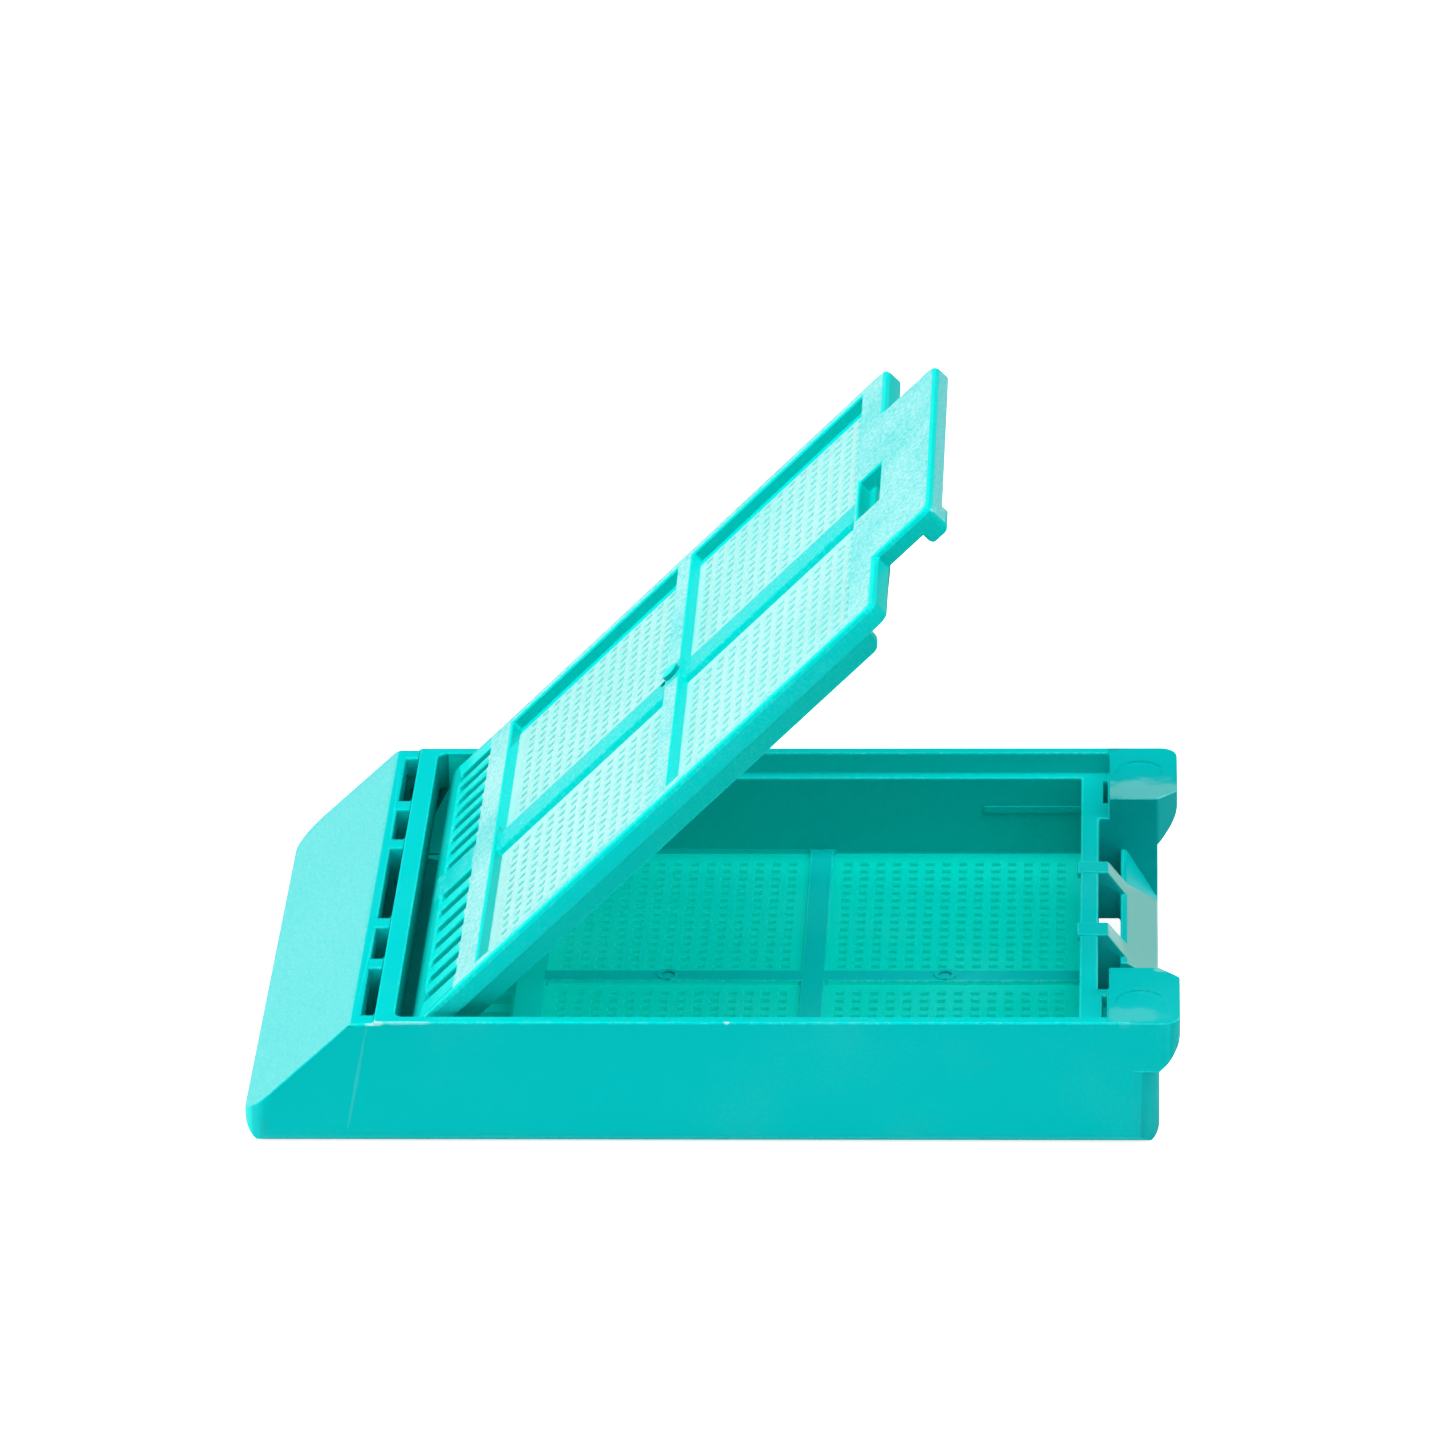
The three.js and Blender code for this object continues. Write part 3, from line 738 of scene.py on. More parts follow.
def coverSide(k):
    # flat top, round tail, upright leg and the lip at its foot
    inner = k["tailRadius"] - k["tailWall"]
    foot = k["top"] - k["tailRadius"] - k["tailDrop"]
    leg = k["tailSet"] - k["tailRadius"]
    return rounded([
        (k["end"], k["under"]),
        (k["end"], k["top"]),
        (leg, k["top"], k["tailRadius"]),
        (leg, foot + k["footThickness"]),
        (-k["footReach"], foot + k["footThickness"]),
        (-k["footReach"], foot),
        (k["tailSet"] - inner, foot),
        (k["tailSet"] - inner, k["under"], inner - hair),
    ], stepDegrees=5)


def coverGrade(k):
    # the outline of the lid's top face is rounded more than the rest, fading out round the tail
    margin = k["outlineMargin"]

    def grade(low, high):
        flankY = min(abs(low.y), abs(high.y))
        onTab = low.x > k["end"] + margin
        besideHole = flankY > k["tabHole"][1] / 2 + 2 * margin
        onEnd = low.x > k["end"] - k["corner"] - margin and besideHole
        onFlank = flankY > k["wellHalf"] + 2 * margin and not (onEnd or onTab)
        fade = k["outlineFade"] if onFlank else hair
        share = 1 - min((k["top"] - low.z) / fade, 1) if onFlank or onEnd or onTab else 0
        return 1 + (k["outlineGrade"] - 1) * share

    return grade


def coverPlan(k):
    half = []
    for side in (-1, 1):
        points = [
            (-k["footReach"] - past, side * k["halfWidth"]),
            (k["end"], side * k["halfWidth"], k["corner"]),
            (k["end"], side * k["tabHalf"]),
            (k["tabEnd"], side * k["tabHalf"], k["tabCorner"]),
        ]
        half += points if side < 0 else points[::-1]
    return rounded(half)


def coverWindows(k):
    front = k["wellFront"], k["ribX"] - k["rib"] / 2
    back = k["ribX"] + k["rib"] / 2, k["wellBack"]
    return fourWindows((front, back), k["ribHalf"], k["wellHalf"])


def coverSkirts(k):
    x0, x1 = k["tailSet"] + k["tailRadius"] - k["tailWall"], k["skirtX"]
    low, high = k["top"] - k["skirtDepth"], k["wellTop"] - weave["thickness"] / 2
    outline = rounded([(x0, low), (x1, low, k["skirtEnd"]), (x1, high), (x0, high)])
    outer = k["halfWidth"] - k["skirtInset"]
    return bothSides(lambda side: prism(outline, *span(side, outer - k["skirtWall"], outer), "y"))


def tabNub(k):
    length, width, drop = k["nub"]
    x1 = k["tabEnd"] - k["nubInset"]
    x0, y0 = x1 - length, -k["tabHalf"]
    low, high = k["tabUnder"] - drop, k["top"] - k["tabThickness"] / 2
    bend = drop * k["nubBend"]
    outline = rounded([(x0, high), (x0, low, bend), (x1, low, bend), (x1, high)])
    nub = prism(outline, y0, y0 + width, "y")
    plan = rectangle(x0, x1, y0, y0 + width, bend)
    return trim(nub, prism(plan, low - past, high + past, "z"))


def tabHole(k):
    # a thin ledge stays across the hole's inner end
    length, width = k["tabHole"]
    ledge, thick = k["tabLedge"]
    x0, half = k["end"] - length, width / 2
    hole = block(x0, k["end"], -half, half, k["under"] + thick, k["above"])
    return join(hole, block(x0 + ledge, k["end"], -half, half, 0, k["top"]))


def lidPlate(k):
    plate = prism(coverSide(k), -k["halfWidth"], k["halfWidth"], "y")
    plan = prism(coverPlan(k), -wholeHeight, wholeHeight, "z")
    tab = rounded([
        (k["end"] - k["tabRoot"], -k["tabHalf"]),
        (k["tabEnd"], -k["tabHalf"], k["tabCorner"]),
        (k["tabEnd"], k["tabHalf"], k["tabCorner"]),
        (k["end"] - k["tabRoot"], k["tabHalf"]),
    ])
    return join(trim(plate, plan), prism(tab, k["tabUnder"], k["top"], "z"))


def addGateMark(k, body):
    # the gate's vestige stands where the ribs cross, with a small pit beside it
    radius, height = k["gateMark"]
    pit, back, aside = k["gatePit"]
    nub = disc(k["ribX"], 0, radius, k["top"] - k["gateRoot"], k["top"] + height)
    softenEdges(nub, k["gateEdge"])
    join(body, nub)
    cut(body, disc(k["ribX"] - back, aside, pit, k["top"] - k["gatePitDepth"], k["above"]))


def buildLid():
    print("moulding the lid")
    k = coverStations(cover)
    body = lidPlate(k)
    windows = coverWindows(k)
    wells = [block(*window, -wholeHeight, wholeHeight) for window in windows]
    comb = [
        block(k["slotFront"], k["slotBack"], y0, y1, k["under"] - k["slotRun"], k["above"])
        for y0, y1 in combSpans()
    ]
    half, ribTop = k["ribHalf"], k["top"] - k["longRibDrop"]
    ribDrops = [block(x0, x1, -half, half, ribTop, k["above"]) for x0, x1, *sides in windows[::2]]
    cut(body, *wells, *comb, tabHole(k), *ribDrops)
    join(body, *coverSkirts(k))  # after the windows, which they run beside
    print("lid body", len(body.data.polygons), "faces")
    softenEdges(body, k["edge"], coverGrade(k))
    print("lid edges", len(body.data.polygons), "faces")
    panels = [meshPanel(*window, k["wellTop"], weave["lidHole"]) for window in windows]
    join(body, tabNub(k), *panels)
    addGateMark(k, body)
    combEdges = -k["nearComb"]["inner"], k["farComb"]["inner"]
    splitAt(body, ("x", k["slotBack"]), *[("y", y) for y in (*combEdges, -half, half)])
    return body


plain = {
    "base": (0.0, 0.66, 0.65),
    "pale": (0.62, 0.93, 0.92),  # painted sheen: the white that a rough mould skin scatters, mixed in by the share; cloud and speckle also lean towards it
    "share": 0.0,  # of the pale colour, a painted sheen
    "cloud": 0.06,
    "speckle": 0.03,
    "rough": 0.42,
    "drift": 0.1,  # of the roughness, with the cloud
    "specular": 0.22,
    "tint": (0.03, 0.8, 0.8),  # of the highlights
    "grain": 0.004,
    "glow": 0.0,  # painted light: an emission in the base colour, standing in for light that comes through a thin wall
    "patched": False,
}
whiteGloss = {"specular": 0.5, "tint": (1.0, 1.0, 1.0)}
finishes = {
    "polished": {"base": (0.0, 0.63, 0.62)},
    # outer side walls: painted shade, a darker copy of the plastic, plus the soft patches
    "outside": {"base": (0.0, 0.6, 0.6), "specular": 0.12, "patched": True},
    # chamber walls: painted shade, a darker copy of the plastic
    "inside": {"base": (0.0, 0.51, 0.5)},
    # the ears' inner faces and the ribs beside them: painted shade
    "earSide": {"base": (0.0, 0.42, 0.42)},
    # ear tops: painted shade, a darker copy of the plastic, with the patches' painted sheen
    "earTop": {"base": (0.0, 0.54, 0.54), "patched": True},
    # painted highlight: a lighter copy of the plastic on the outward edges
    "edge": {"base": (0.0, 0.76, 0.73), "cloud": 0.15, "speckle": 0.35, "rough": 0.35,
             "specular": 0.3, "patched": True},
    # painted light: a lighter copy of the plastic on the upright strip under the label, which
    # faces the key light
    "lip": {"base": (0.0, 0.78, 0.74)},
    # painted shade: a darker copy on the rounded rear corners
    "rearCorner": {"base": (0.0, 0.5, 0.5), "specular": 0.08},
    # painted shade: the pocket under the crossbar, much darker than the plastic
    "pocket": {"base": (0.0, 0.36, 0.34), "specular": 0.1},
    # painted light: a glow in the dim rear of the pocket and round its border
    "pocketRear": {"base": (0.0, 0.62, 0.56), "specular": 0.15, "glow": 0.13},
    # label face: a rough skin with a painted pale sheen
    "textured": {"share": 0.18, "speckle": 0.4, "rough": 0.55, "grain": 0.02, **whiteGloss},
    # painted reflection: the catch plate, paler and greyer than the plastic
    "latch": {"base": (0.2, 0.62, 0.56), "share": 0.08, "rough": 0.3, **whiteGloss},
    # painted light: glowing, greener copies of the plastic for the floor mesh and its holes
    "floorMesh": {"base": (0.0, 0.64, 0.54), "rough": 0.5, "specular": 0.15, "glow": 0.2},
    "floorHole": {"base": (0.0, 0.58, 0.49), "rough": 0.5, "specular": 0.15, "glow": 0.33},
    "lidSide": {"base": (0.0, 0.62, 0.57), "speckle": 0.08, "grain": 0.01},
    # painted light: a lighter copy of the lid's plastic on its long flanks
    "lidFlank": {"base": (0.0, 0.68, 0.65), "speckle": 0.08, "grain": 0.01},
    # painted light: the walls of the tail's slots glow
    "finSide": {"base": (0.0, 0.62, 0.58), "glow": 0.1},
    # painted shade: the gate mark's sides and the pit beside it
    "gateSide": {"base": (0.0, 0.42, 0.38)},
    # painted light: a lighter copy of the lid's plastic on its rounded edges, fin tops and the
    # gate mark's top
    "lidEdge": {"base": (0.0, 0.82, 0.76), "speckle": 0.2, "grain": 0.01},
    # painted sheen: the lid's top face with a strong pale share
    "lidTop": {"share": 0.43, "cloud": 1.0, "speckle": 1.2, "rough": 0.6, "grain": 0.03,
               **whiteGloss},
    # painted sheen on the tab's end face
    "tabEnd": {"share": 0.25, "speckle": 0.8, **whiteGloss},
    # the lid's windows: walls and holes glow as painted light, the margin is a lighter copy, the
    # mesh carries a painted pale sheen
    "lidWall": {"base": (0.0, 0.66, 0.62), "speckle": 0.2, "specular": 0.1, "glow": 0.25},
    "lidMargin": {"base": (0.0, 0.76, 0.72), "cloud": 0.1},
    "lidMesh": {"pale": (0.66, 0.89, 0.87), "share": 0.62, "cloud": 0.4, "speckle": 0.5,
                "rough": 0.6, "grain": 0.01, **whiteGloss, "specular": 0.4},
    "lidHole": {"base": (0.2, 0.78, 0.74), "share": 0.3, "glow": 0.26},
    "ribTop": {"base": (0.0, 0.74, 0.71), "share": -0.03, "speckle": 1.1, "specular": 0.3,
               "grain": 0.06},
}
# soft pale patches on the tray, some of painted sheen and light, some marks: centre, reach, lean
# along X per mm of height, share
patches = {
    # painted sheen where the ears' shallow sinks tilt towards the light
    "farEarSinkSheen": ((19.0, 9.4, 5.9), (2.8, 2.0, 0.5), 0.0, 0.22),
    "nearEarSinkSheen": ((18.5, -13.3, 5.9), (1.7, 1.1, 0.5), 0.0, 0.08),
    # a small pale spot where an ear's slant begins
    "earPaleSpot": ((19.8, -8.9, 5.95), (0.5, 0.35, 0.3), 0.0, 0.35),
    "edgeNick": ((-14.55, -14.2, 5.88), (0.5, 0.3, 0.14), 0.0, 0.7),
    # a painted highlight along the near wall's top edge
    "edgeHighlight": ((-13.1, -14.2, 5.9), (1.4, 0.3, 0.1), 0.0, 0.35),
    "speck": ((0.81, -14.15, 5.93), (0.16, 0.16, 0.12), 0.0, 0.9),
    # a faint painted streak of light down the near side
    "sideLightStreak": ((-15.4, -14.25, 3.2), (0.09, 0.4, 3.2), 0.2, 0.06),
}
raggedness = 1.2  # of the patches' outlines
# noise in the plastic: cells per mm and detail
noises = {
    "cloud": (0.14, 3.0),
    "speckle": (7.0, 1.0),
    "fineGrain": (7.0, 2.0),
    "coarseGrain": (2.5, 2.0),
    "ragged": (1.2, 3.0),
}


def newGroup(name, inputs, outputs):
    # the inputs with their values, the outputs with their kinds
    group = bpy.data.node_groups.new(name, "ShaderNodeTree")
    for label, value in inputs.items():
        size = len(value) if isinstance(value, tuple) else 1
        kind = "NodeSocket" + {1: "Float", 3: "Vector", 4: "Color"}[size]
        socket = group.interface.new_socket(label, in_out="INPUT", socket_type=kind)
        socket.default_value = value
    for label, kind in outputs.items():
        group.interface.new_socket(label, in_out="OUTPUT", socket_type="NodeSocket" + kind)
    return group, group.nodes.new("NodeGroupInput"), group.nodes.new("NodeGroupOutput")


def setInputs(node, values):
    for socket, value in values.items():
        node.inputs[socket].default_value = value


def placeGroup(tree, group, values):
    node = tree.nodes.new("ShaderNodeGroup")
    node.node_tree = group
    setInputs(node, values)
    return node


def noiseNode(tree, name):
    # noise in the piece's own space
    scale, detail = noises[name]
    place = tree.nodes.new("ShaderNodeTexCoord")
    noise = tree.nodes.new("ShaderNodeTexNoise")
    setInputs(noise, {"Scale": scale / mm, "Detail": detail})
    tree.links.new(place.outputs["Object"], noise.inputs["Vector"])
    return noise.outputs["Fac"]


def mathNode(tree, operation, *values, kind="Math", output=0):
    node = tree.nodes.new("ShaderNode" + kind)
    node.operation = operation
    for socket, value in zip(node.inputs, values):
        if isinstance(value, (int, float)):
            socket.default_value = value
        else:
            tree.links.new(value, socket)
    return node.outputs[output]


def smoothFade(tree, value, start, end, first, last):
    # goes softly from the first value to the last one between start and end
    fade = tree.nodes.new("ShaderNodeMapRange")
    fade.interpolation_type = "SMOOTHSTEP"
    setInputs(fade, {"From Min": start, "From Max": end, "To Min": first, "To Max": last})
    tree.links.new(value, fade.inputs["Value"])
    return fade.outputs[0]


def mixColours(tree, factor, first, second):
    node = tree.nodes.new("ShaderNodeMix")
    node.data_type = "RGBA"
    tree.links.new(factor, node.inputs["Factor"])
    tree.links.new(first, node.inputs["A"])
    tree.links.new(second, node.inputs["B"])
    return node.outputs["Result"]


def moulding():
    # colour and roughness of moulded plastic: cloudy flow, fine speckle, and a share of pale
    # colour that paints in a sheen
    group, given, result = newGroup(
        "mouldedColour",
        {"Base": (0, 0.5, 0.5, 1), "Pale": (1, 1, 1, 1), "Share": 0.1, "Cloud": 0.1,
         "Speckle": 0.1, "Rough": 0.4, "Drift": 0.1},
        {"Color": "Color", "Roughness": "Float"},
    )
    cloud = mathNode(group, "SUBTRACT", noiseNode(group, "cloud"), 0.5)
    fine = mathNode(group, "SUBTRACT", noiseNode(group, "speckle"), 0.5)
    speck = mathNode(group, "MULTIPLY", fine, given.outputs["Speckle"])
    flow = mathNode(group, "MULTIPLY", cloud, given.outputs["Cloud"])
    factor = mathNode(group, "ADD", mathNode(group, "ADD", given.outputs["Share"], speck), flow)
    clamped = mathNode(group, "MINIMUM", mathNode(group, "MAXIMUM", factor, 0.0), 1.0)
    colour = mixColours(group, clamped, given.outputs["Base"], given.outputs["Pale"])
    group.links.new(colour, result.inputs["Color"])
    drift = mathNode(group, "MULTIPLY", cloud, given.outputs["Drift"])
    rough = mathNode(group, "ADD", given.outputs["Rough"], drift)
    group.links.new(rough, result.inputs["Roughness"])
    return group


def skin():
    # bump height of the mould's spark-eroded texture
    group, given, result = newGroup("mouldGrain", {"Height": 0.01}, {"Height": "Float"})
    grain = mathNode(group, "ADD", noiseNode(group, "fineGrain"), noiseNode(group, "coarseGrain"))
    height = mathNode(group, "MULTIPLY", grain, given.outputs["Height"])
    group.links.new(height, result.inputs["Height"])
    return group


def softPatch():
    # a mask that fades out from a centre, its outline broken up by noise
    group, given, result = newGroup(
        "softPatch",
        {"Centre": (0, 0, 0), "Reach": (1, 1, 1), "Lean": 0.0, "Share": 0.1, "Ragged": 1.2},
        {"Mask": "Float"},
    )
    point = group.nodes.new("ShaderNodeTexCoord").outputs["Object"]
    away = mathNode(group, "SUBTRACT", point, given.outputs["Centre"], kind="VectorMath")
    parts = group.nodes.new("ShaderNodeSeparateXYZ")
    group.links.new(away, parts.inputs[0])
    x, y, z = parts.outputs
    leaning = mathNode(group, "MULTIPLY", z, given.outputs["Lean"])
    straight = group.nodes.new("ShaderNodeCombineXYZ")
    for value, socket in zip((mathNode(group, "SUBTRACT", x, leaning), y, z), straight.inputs):
        group.links.new(value, socket)
    reach = given.outputs["Reach"]
    scaled = mathNode(group, "DIVIDE", straight.outputs[0], reach, kind="VectorMath")
    distance = mathNode(group, "LENGTH", scaled, kind="VectorMath", output="Value")
    noise = mathNode(group, "SUBTRACT", noiseNode(group, "ragged"), 0.5)
    ragged = mathNode(group, "MULTIPLY", noise, given.outputs["Ragged"])
    edge = mathNode(group, "ADD", distance, ragged)
    fade = smoothFade(group, edge, start=0.5, end=1.0, first=1.0, last=0.0)
    mask = mathNode(group, "MULTIPLY", fade, given.outputs["Share"])
    group.links.new(mask, result.inputs["Mask"])
    return group


def patchShares(tree, share):
    # the masks of all soft patches, added to the finish's own share of the pale colour
    for centre, reach, lean, strength in patches.values():
        values = {
            "Centre": Vector(centre) * mm,
            "Reach": Vector(reach) * mm,
            "Lean": lean,
            "Share": strength,
            "Ragged": raggedness,
        }
        patch = placeGroup(tree, groups["patch"], values)
        share = mathNode(tree, "ADD", share, patch.outputs["Mask"])
    return share


def makeFinish(name):
    look = {**plain, **finishes[name]}
    material = bpy.data.materials.new(name)
    material.use_nodes = True
    tree = material.node_tree
    shader = tree.nodes["Principled BSDF"]
    # the glow is painted light: the plastic emits its own base colour
    setInputs(shader, {
        "Specular IOR Level": look["specular"],
        "Specular Tint": (*look["tint"], 1),
        "Emission Color": (*look["base"], 1),
        "Emission Strength": look["glow"],
    })
    sockets = ("Share", "Cloud", "Speckle", "Rough", "Drift")
    colour = placeGroup(tree, groups["colour"], {
        "Base": (*look["base"], 1),
        "Pale": (*look["pale"], 1),
        **{socket: look[socket.lower()] for socket in sockets},
    })
    if look["patched"]:
        tree.links.new(patchShares(tree, look["share"]), colour.inputs["Share"])
    tree.links.new(colour.outputs["Color"], shader.inputs["Base Color"])
    tree.links.new(colour.outputs["Roughness"], shader.inputs["Roughness"])
    grain = placeGroup(tree, groups["grain"], {"Height": look["grain"]})
    bump = tree.nodes.new("ShaderNodeBump")
    setInputs(bump, {"Distance": mm})
    tree.links.new(grain.outputs["Height"], bump.inputs["Height"])
    tree.links.new(bump.outputs["Normal"], shader.inputs["Normal"])
    return material


# how far some finishes reach from, or keep away from, the edge or face they follow
bands = {
    "earBrim": 0.25,
    "catchFoot": 0.3,
    "lip": 0.4,
    "lipFoot": 0.3,
    "pocketBrim": 0.4,
    "meshMargin": 0.25,
    "lidTop": 0.12,
    "lidEdge": 0.35,
    "lidFlank": 0.05,
    "tabEnd": 0.15,
}


def trayFinish(s):
    # picks a face's finish by where its middle is and which way it looks
    def choose(middle, normal):
        x, y, z = middle.x, abs(middle.y), middle.z
        back, aside, up = normal.x, abs(normal.y), normal.z  # how much it looks each way
        behind = x > s["wallBack"] + near
        offBottom = z > about / 2
        inPocket = s["barFront"] < x < s["pocketBack"] and y < s["rimInner"] + near
        onEar = x > s["earFront"] and y > s["earInner"] and z > s["height"] - bands["earBrim"]
        # the label face gets the rough finish with its painted sheen
        if x < s["labelTop"] + about and back < -0.3 and up > 0.4:
            return "textured"
        aboveFoot = z > s["rampFoot"] + bands["catchFoot"]
        onPlate = behind and y < s["catchHalf"] + near and aboveFoot
        # the catch plate gets the painted reflection
        if onPlate and back > 0.3 and up > 0.25:
            return "latch"
        # the upright strip under the label gets the lighter copy, a painted light
        if x < s["front"] + bands["lip"] and z > bands["lipFoot"] and back < -0.3:
            return "lip"
        # the front run of the pocket gets painted shade, the rear a painted glow
        if inPocket and offBottom and z < s["height"] - bands["pocketBrim"]:
            return "pocket" if x < s["barBack"] + s["darkRun"] else "pocketRear"
        # ear tops get painted shade, their brims the painted edge highlight
        if onEar:
            return "earTop" if up > 0.9 else "edge"
        # the ears' inner faces get painted shade
        if behind and y < s["earInner"] + about and aside > 0.8:
            return "earSide"
        if x > s["rear"] and y < s["earInner"] + s["earSlant"] and aside > 0.5:
            return "earSide"
        # outer side walls get the darker copy, a painted shade
        if y > s["halfWidth"] - about and aside > 0.9:
            return "outside"
        # the rounded rear corners get painted shade
        onCorner = x > s["rear"] - s["cornerRear"] and y > s["halfWidth"] - s["cornerRear"]
        if onCorner and back > 0.15 and aside > 0.15:
            return "rearCorner"
        # the border round the pocket gets the painted glow
        onBorder = s["pocketBack"] - about < x < s["chamberFront"] and y < s["wallInner"] + near
        if onBorder and offBottom:
            return "pocketRear"
        inChamber = s["chamberFront"] - near < x < s["chamberBack"] + near
        if inChamber and y < s["wallInner"] + near:
            # the floor mesh and its holes get the painted glow
            if z < s["floorTop"] + near:
                return "floorMesh" if abs(up) > 0.5 else "floorHole"
            # upright chamber walls get painted shade
            if abs(up) < 0.3 and z > s["ribTop"]:
                return "inside"
        return "polished"

    return choose


def lidFinish(k):
    pitX, pitY = k["ribX"] - k["gatePit"][1], k["gatePit"][2]
    lastRow = gridLines(k["ribHalf"], k["wellHalf"], weave["lidHole"])[-1]

    def choose(middle, normal):
        x, y, z = middle.x, abs(middle.y), middle.z
        onTop = normal.z > 0.97 and z > k["top"] - bands["lidTop"]
        onMark = math.hypot(x - k["ribX"], y) < k["gateMark"][0] + near
        inPit = math.hypot(x - pitX, middle.y - pitY) < k["gatePit"][0] + near
        inWells = k["wellFront"] < x < k["wellBack"] and y < k["wellHalf"]
        amongFins = k["slotFront"] - near < x < k["slotBack"] + near and y < k["wellHalf"]
        onRib = y < k["ribHalf"] and (
            abs(x - k["ribX"]) < k["rib"] and normal.z > 0.5 or inWells and normal.z > 0.7
        )
        # the gate mark's sides and pit get painted shade, its top the lighter edge copy
        if onMark and z > k["top"] + near:
            return "lidEdge" if normal.z > 0.8 else "gateSide"
        if inPit and z < k["top"] - near:
            return "gateSide"
        if normal.z < -0.5 and z < k["wellTop"]:
            return "lidSide"
        if onRib:
            return "ribTop"
        # the lid's top face gets its painted sheen
        if onTop and x > k["slotBack"]:
            return "lidTop"
        if onTop and -k["nearComb"]["inner"] < middle.y < k["farComb"]["inner"]:
            return "ribTop"
        # fin tops here and the rounded slopes below get the lighter copy, a painted light
        if onTop and amongFins:
            return "lidEdge"
        # the walls of the tail's slots get the painted glow
        if amongFins and abs(normal.z) < 0.3:
            return "finSide"
        onSlope = 0.2 < normal.z <= 0.97 and z > k["top"] - bands["lidEdge"]
        if x > k["slotFront"] and onSlope:
            return "lidEdge"
        # in the windows: painted glow on the hole walls, a painted lighter margin and a painted
        # sheen on the mesh
        if inWells and k["under"] - about < z < k["wellTop"] + hair:
            if abs(normal.z) < 0.5:
                return "lidHole"
            return "lidMargin" if middle.y > lastRow + bands["meshMargin"] else "lidMesh"
        # the windows' upright walls get the painted glow
        if inWells and z > k["wellTop"]:
            return "lidWall"
        # the tab's end face gets its painted sheen
        if normal.x > 0.7 and x > k["tabEnd"] - bands["tabEnd"] and z > k["under"]:
            return "tabEnd"
        # the lid's long flanks get the lighter copy, a painted light
        if abs(normal.y) > 0.8 and y > k["halfWidth"] - bands["lidFlank"]:
            return "lidFlank"
        return "lidSide"

    return choose


def outerEdges(solid, width, narrow=0.85, joined=0.3, turnDegrees=20):
    # the narrow faces that round off the outward edges
    mesh = bmesh.new()
    mesh.from_mesh(solid.data)
    strips = set()
    for face in mesh.faces:
        longest = max(edge.calc_length() for edge in face.edges)
        area = face.calc_area() * (2 if len(face.verts) == 3 else 1)
        if area > longest * width * narrow:
            continue
        middle, turn, drop = face.calc_center_median(), 0, 0
        for edge in face.edges:
            for other in edge.link_faces:
                if other != face and edge.calc_length() > longest * joined:
                    turn = max(turn, face.normal.angle(other.normal, 0))
                    drop += (other.calc_center_median() - middle).dot(face.normal)
        if turn > math.radians(turnDegrees) and drop < 0:
            strips.add(face.index)
    mesh.free()
    return strips


def paint(solid, choose, size, highlightName):
    # outward edges over a given height get a painted highlight, unless they have a finish of
    # their own
    edges = outerEdges(solid, size["edge"])
    names = list(finishes)
    solid.data.materials.clear()  # the cuts leave an empty slot
    for name in names:
        solid.data.materials.append(materials[name])
    for face in solid.data.polygons:
        name = choose(face.center, face.normal)
        common = name in ("polished", "inside", "outside", "lidSide")
        if common and face.index in edges and face.center.z > size["brightAbove"]:
            name = highlightName
        face.material_index = names.index(name)


def finish(solid, name, node, body, place, sharpDegrees=36):
    solid.name = solid.data.name = name
    solid.data.transform(Matrix.Scale(mm, 4))
    solid.data.shade_smooth()
    solid.data.set_sharp_from_angle(angle=math.radians(sharpDegrees))
    weighted = solid.modifiers.new("shading", "WEIGHTED_NORMAL")
    weighted.keep_sharp = True
    weighted.weight = 80
    bake(solid)
    solid.matrix_world = place
    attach(solid, body)
    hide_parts(node)
    print(name, len(solid.data.polygons), "faces")


print("mixing the finishes")
groups = {"colour": moulding(), "grain": skin(), "patch": softPatch()}
materials = {name: makeFinish(name) for name in finishes}

trayPiece = buildTray()
paint(trayPiece, trayFinish(trayStations(tray)), tray, "edge")
finish(trayPiece, "tray", "cassette_base", "base", Matrix.Identity(4))

lidPiece = buildLid()
paint(lidPiece, lidFinish(coverStations(cover)), cover, "lidEdge")
atHinge = Matrix.Translation(Vector((hingeX, hingeY, hingeZ)) * mm)
lidPlace = atHinge @ Matrix.Rotation(-openAngle, 4, "Y")
finish(lidPiece, "mesh_lid", "lid", "lid", lidPlace)

studio = {
    "floorSize": 6.0,
    "floorColour": (0.93, 0.93, 0.93),
    "floorGlow": 0.8,  # for the camera only, so the paper looks evenly lit
    "skyLow": 1.2,
    "skyHigh": 0.35,
    "skyFade": (0.2, 0.36),  # how far up the change from low to high begins and ends
    "softboxSize": 1.2,
}
softboxes = {
    # where each stands, in metres, and its power in watts
    "left": ((-1.2, -0.15, 1.2), 25),
    "top": ((0.15, -0.2, 1.6), 14),
    "right": ((1.2, -0.3, 1.0), 10.5),
}
# a long lens, level with the near side and a little to its right
view = {
    "lens": 218.4,
    "sensor": 36,
    "distance": 0.39496,  # metres
    "down": 24.592,  # degrees, as the next two
    "turn": -2.907,
    "roll": -1.248,
    "target": (-0.5, 0, 3.25),  # mm, as the next
    "slide": (0.485, 9.557),  # framing offset, right and up
    "clip": (0.01, 50),
}


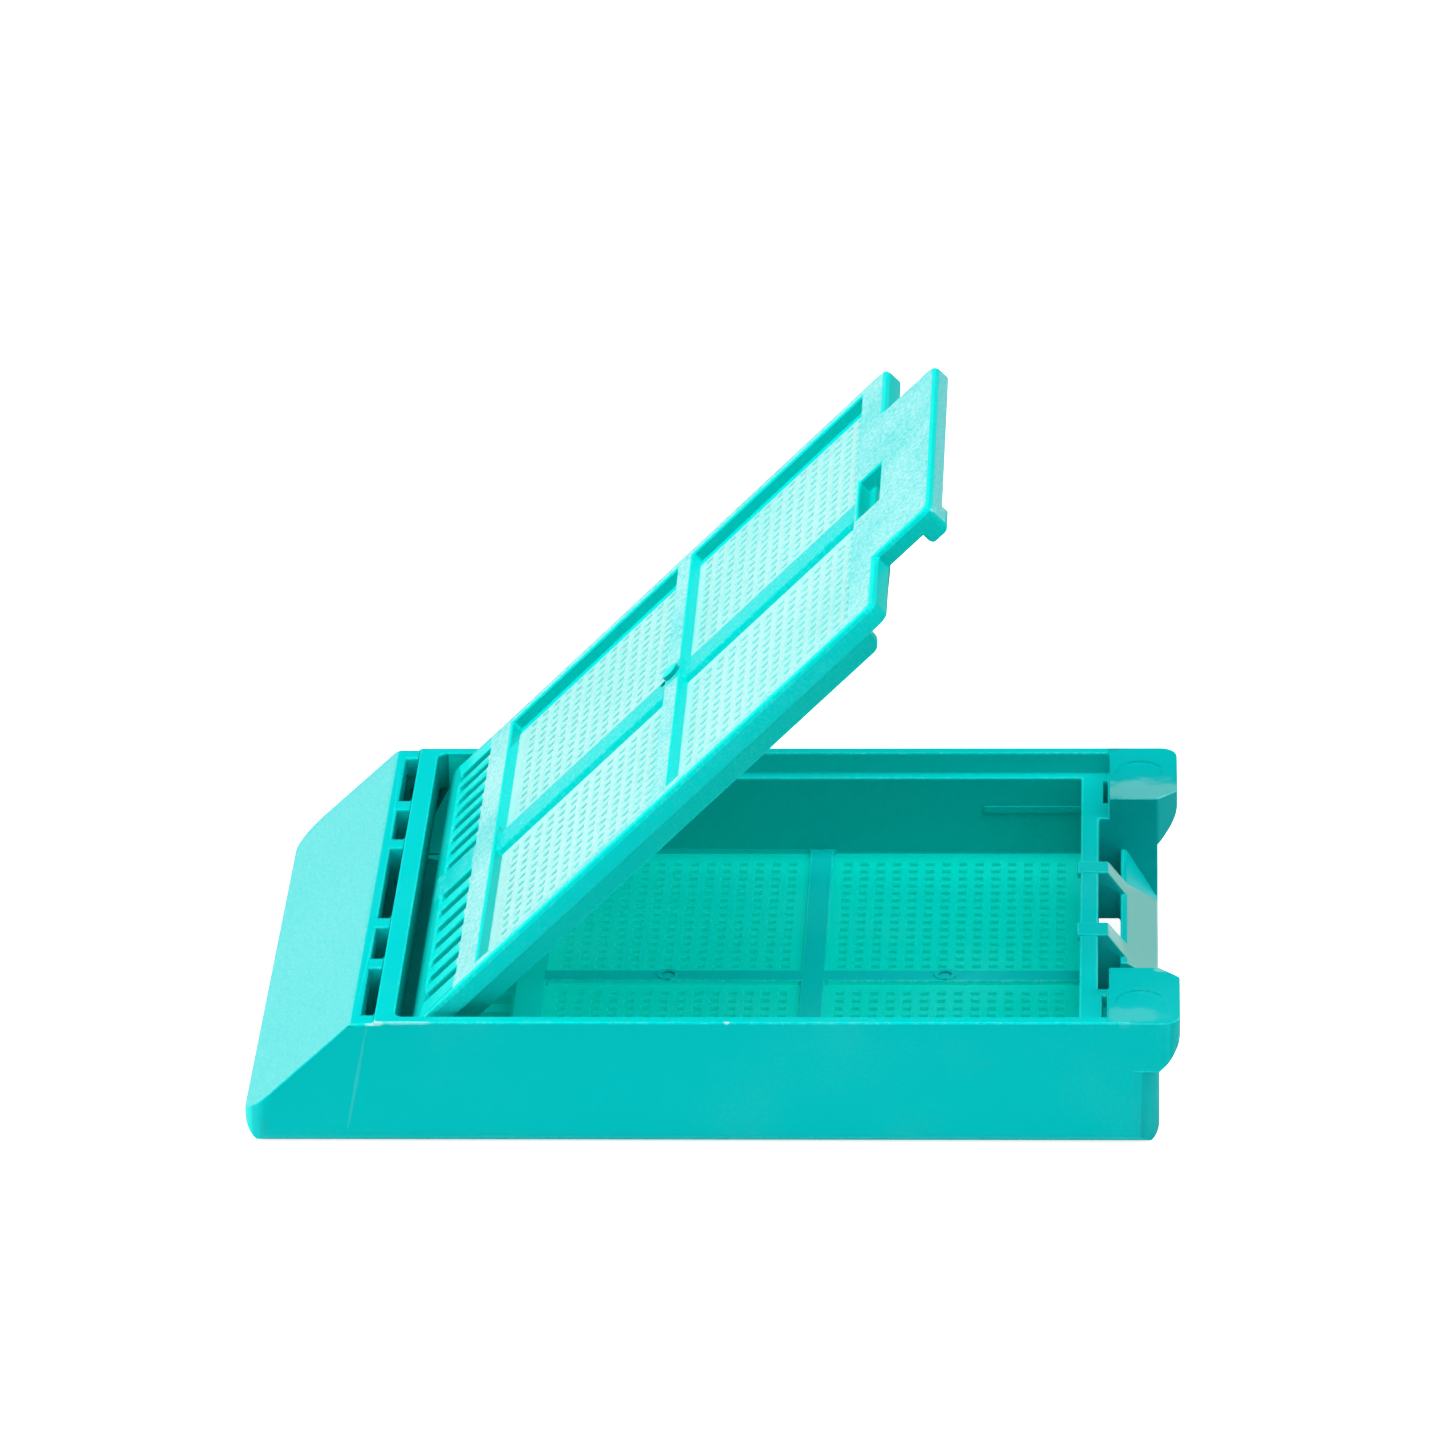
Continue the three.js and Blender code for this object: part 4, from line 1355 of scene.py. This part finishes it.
def buildFloor():
    size = studio["floorSize"]
    mesh = bmesh.new()
    corners = [(-size, -size), (size, -size), (size, size), (-size, size)]
    mesh.faces.new([mesh.verts.new((x, y, 0)) for x, y in corners])
    floor = solidFrom(mesh, "floor")
    paper = bpy.data.materials.new("paleFloor")
    paper.use_nodes = True
    tree = paper.node_tree
    shader = tree.nodes["Principled BSDF"]
    setInputs(shader, {
        "Base Color": (*studio["floorColour"], 1),
        "Roughness": 0.9,
        "Specular IOR Level": 0.0,
        "Emission Strength": studio["floorGlow"],
    })
    rays = tree.nodes.new("ShaderNodeLightPath")
    tree.links.new(rays.outputs["Is Camera Ray"], shader.inputs["Emission Color"])
    floor.data.materials.append(paper)


def buildSky():
    world = bpy.data.worlds.new("studio")
    bpy.context.scene.world = world
    world.use_nodes = True
    tree = world.node_tree
    place = tree.nodes.new("ShaderNodeTexCoord")
    split = tree.nodes.new("ShaderNodeSeparateXYZ")
    tree.links.new(place.outputs["Generated"], split.inputs[0])
    height = split.outputs["Z"]
    fade = smoothFade(tree, height, *studio["skyFade"], studio["skyLow"], studio["skyHigh"])
    tree.links.new(fade, tree.nodes["Background"].inputs["Strength"])


def softbox(name, at, power):
    data = bpy.data.lights.new(name, "AREA")
    data.shape = "RECTANGLE"
    data.size = data.size_y = studio["softboxSize"]
    data.energy = power
    lamp = bpy.data.objects.new(name, data)
    bpy.context.scene.collection.objects.link(lamp)
    lamp.location = at
    lamp.rotation_euler = (-Vector(at)).to_track_quat("-Z", "Y").to_euler()
    lamp.visible_camera = False


def buildCamera():
    target, slide = Vector(view["target"]) * mm, Vector(view["slide"]) * mm
    down, turn, roll = (math.radians(view[angle]) for angle in ("down", "turn", "roll"))
    ahead = Vector((
        math.sin(turn) * math.cos(down),
        math.cos(turn) * math.cos(down),
        -math.sin(down),
    ))
    right = ahead.cross(Vector((0, 0, 1))).normalized()
    up = right.cross(ahead)
    right, up = (
        right * math.cos(roll) + up * math.sin(roll),
        up * math.cos(roll) - right * math.sin(roll),
    )
    place = Matrix((right, up, -ahead)).transposed().to_4x4()
    place.translation = target - ahead * view["distance"] + right * slide.x + up * slide.y
    camera = bpy.data.objects.new("camera", bpy.data.cameras.new("camera"))
    bpy.context.scene.collection.objects.link(camera)
    camera.data.lens = view["lens"]
    camera.data.sensor_width = view["sensor"]
    camera.data.clip_start, camera.data.clip_end = view["clip"]
    camera.matrix_world = place
    bpy.context.scene.camera = camera


print("setting the studio")
buildFloor()
buildSky()
for name, (place, power) in softboxes.items():
    softbox(name, place, power)
buildCamera()
bpy.context.scene.view_settings.view_transform = "Standard"
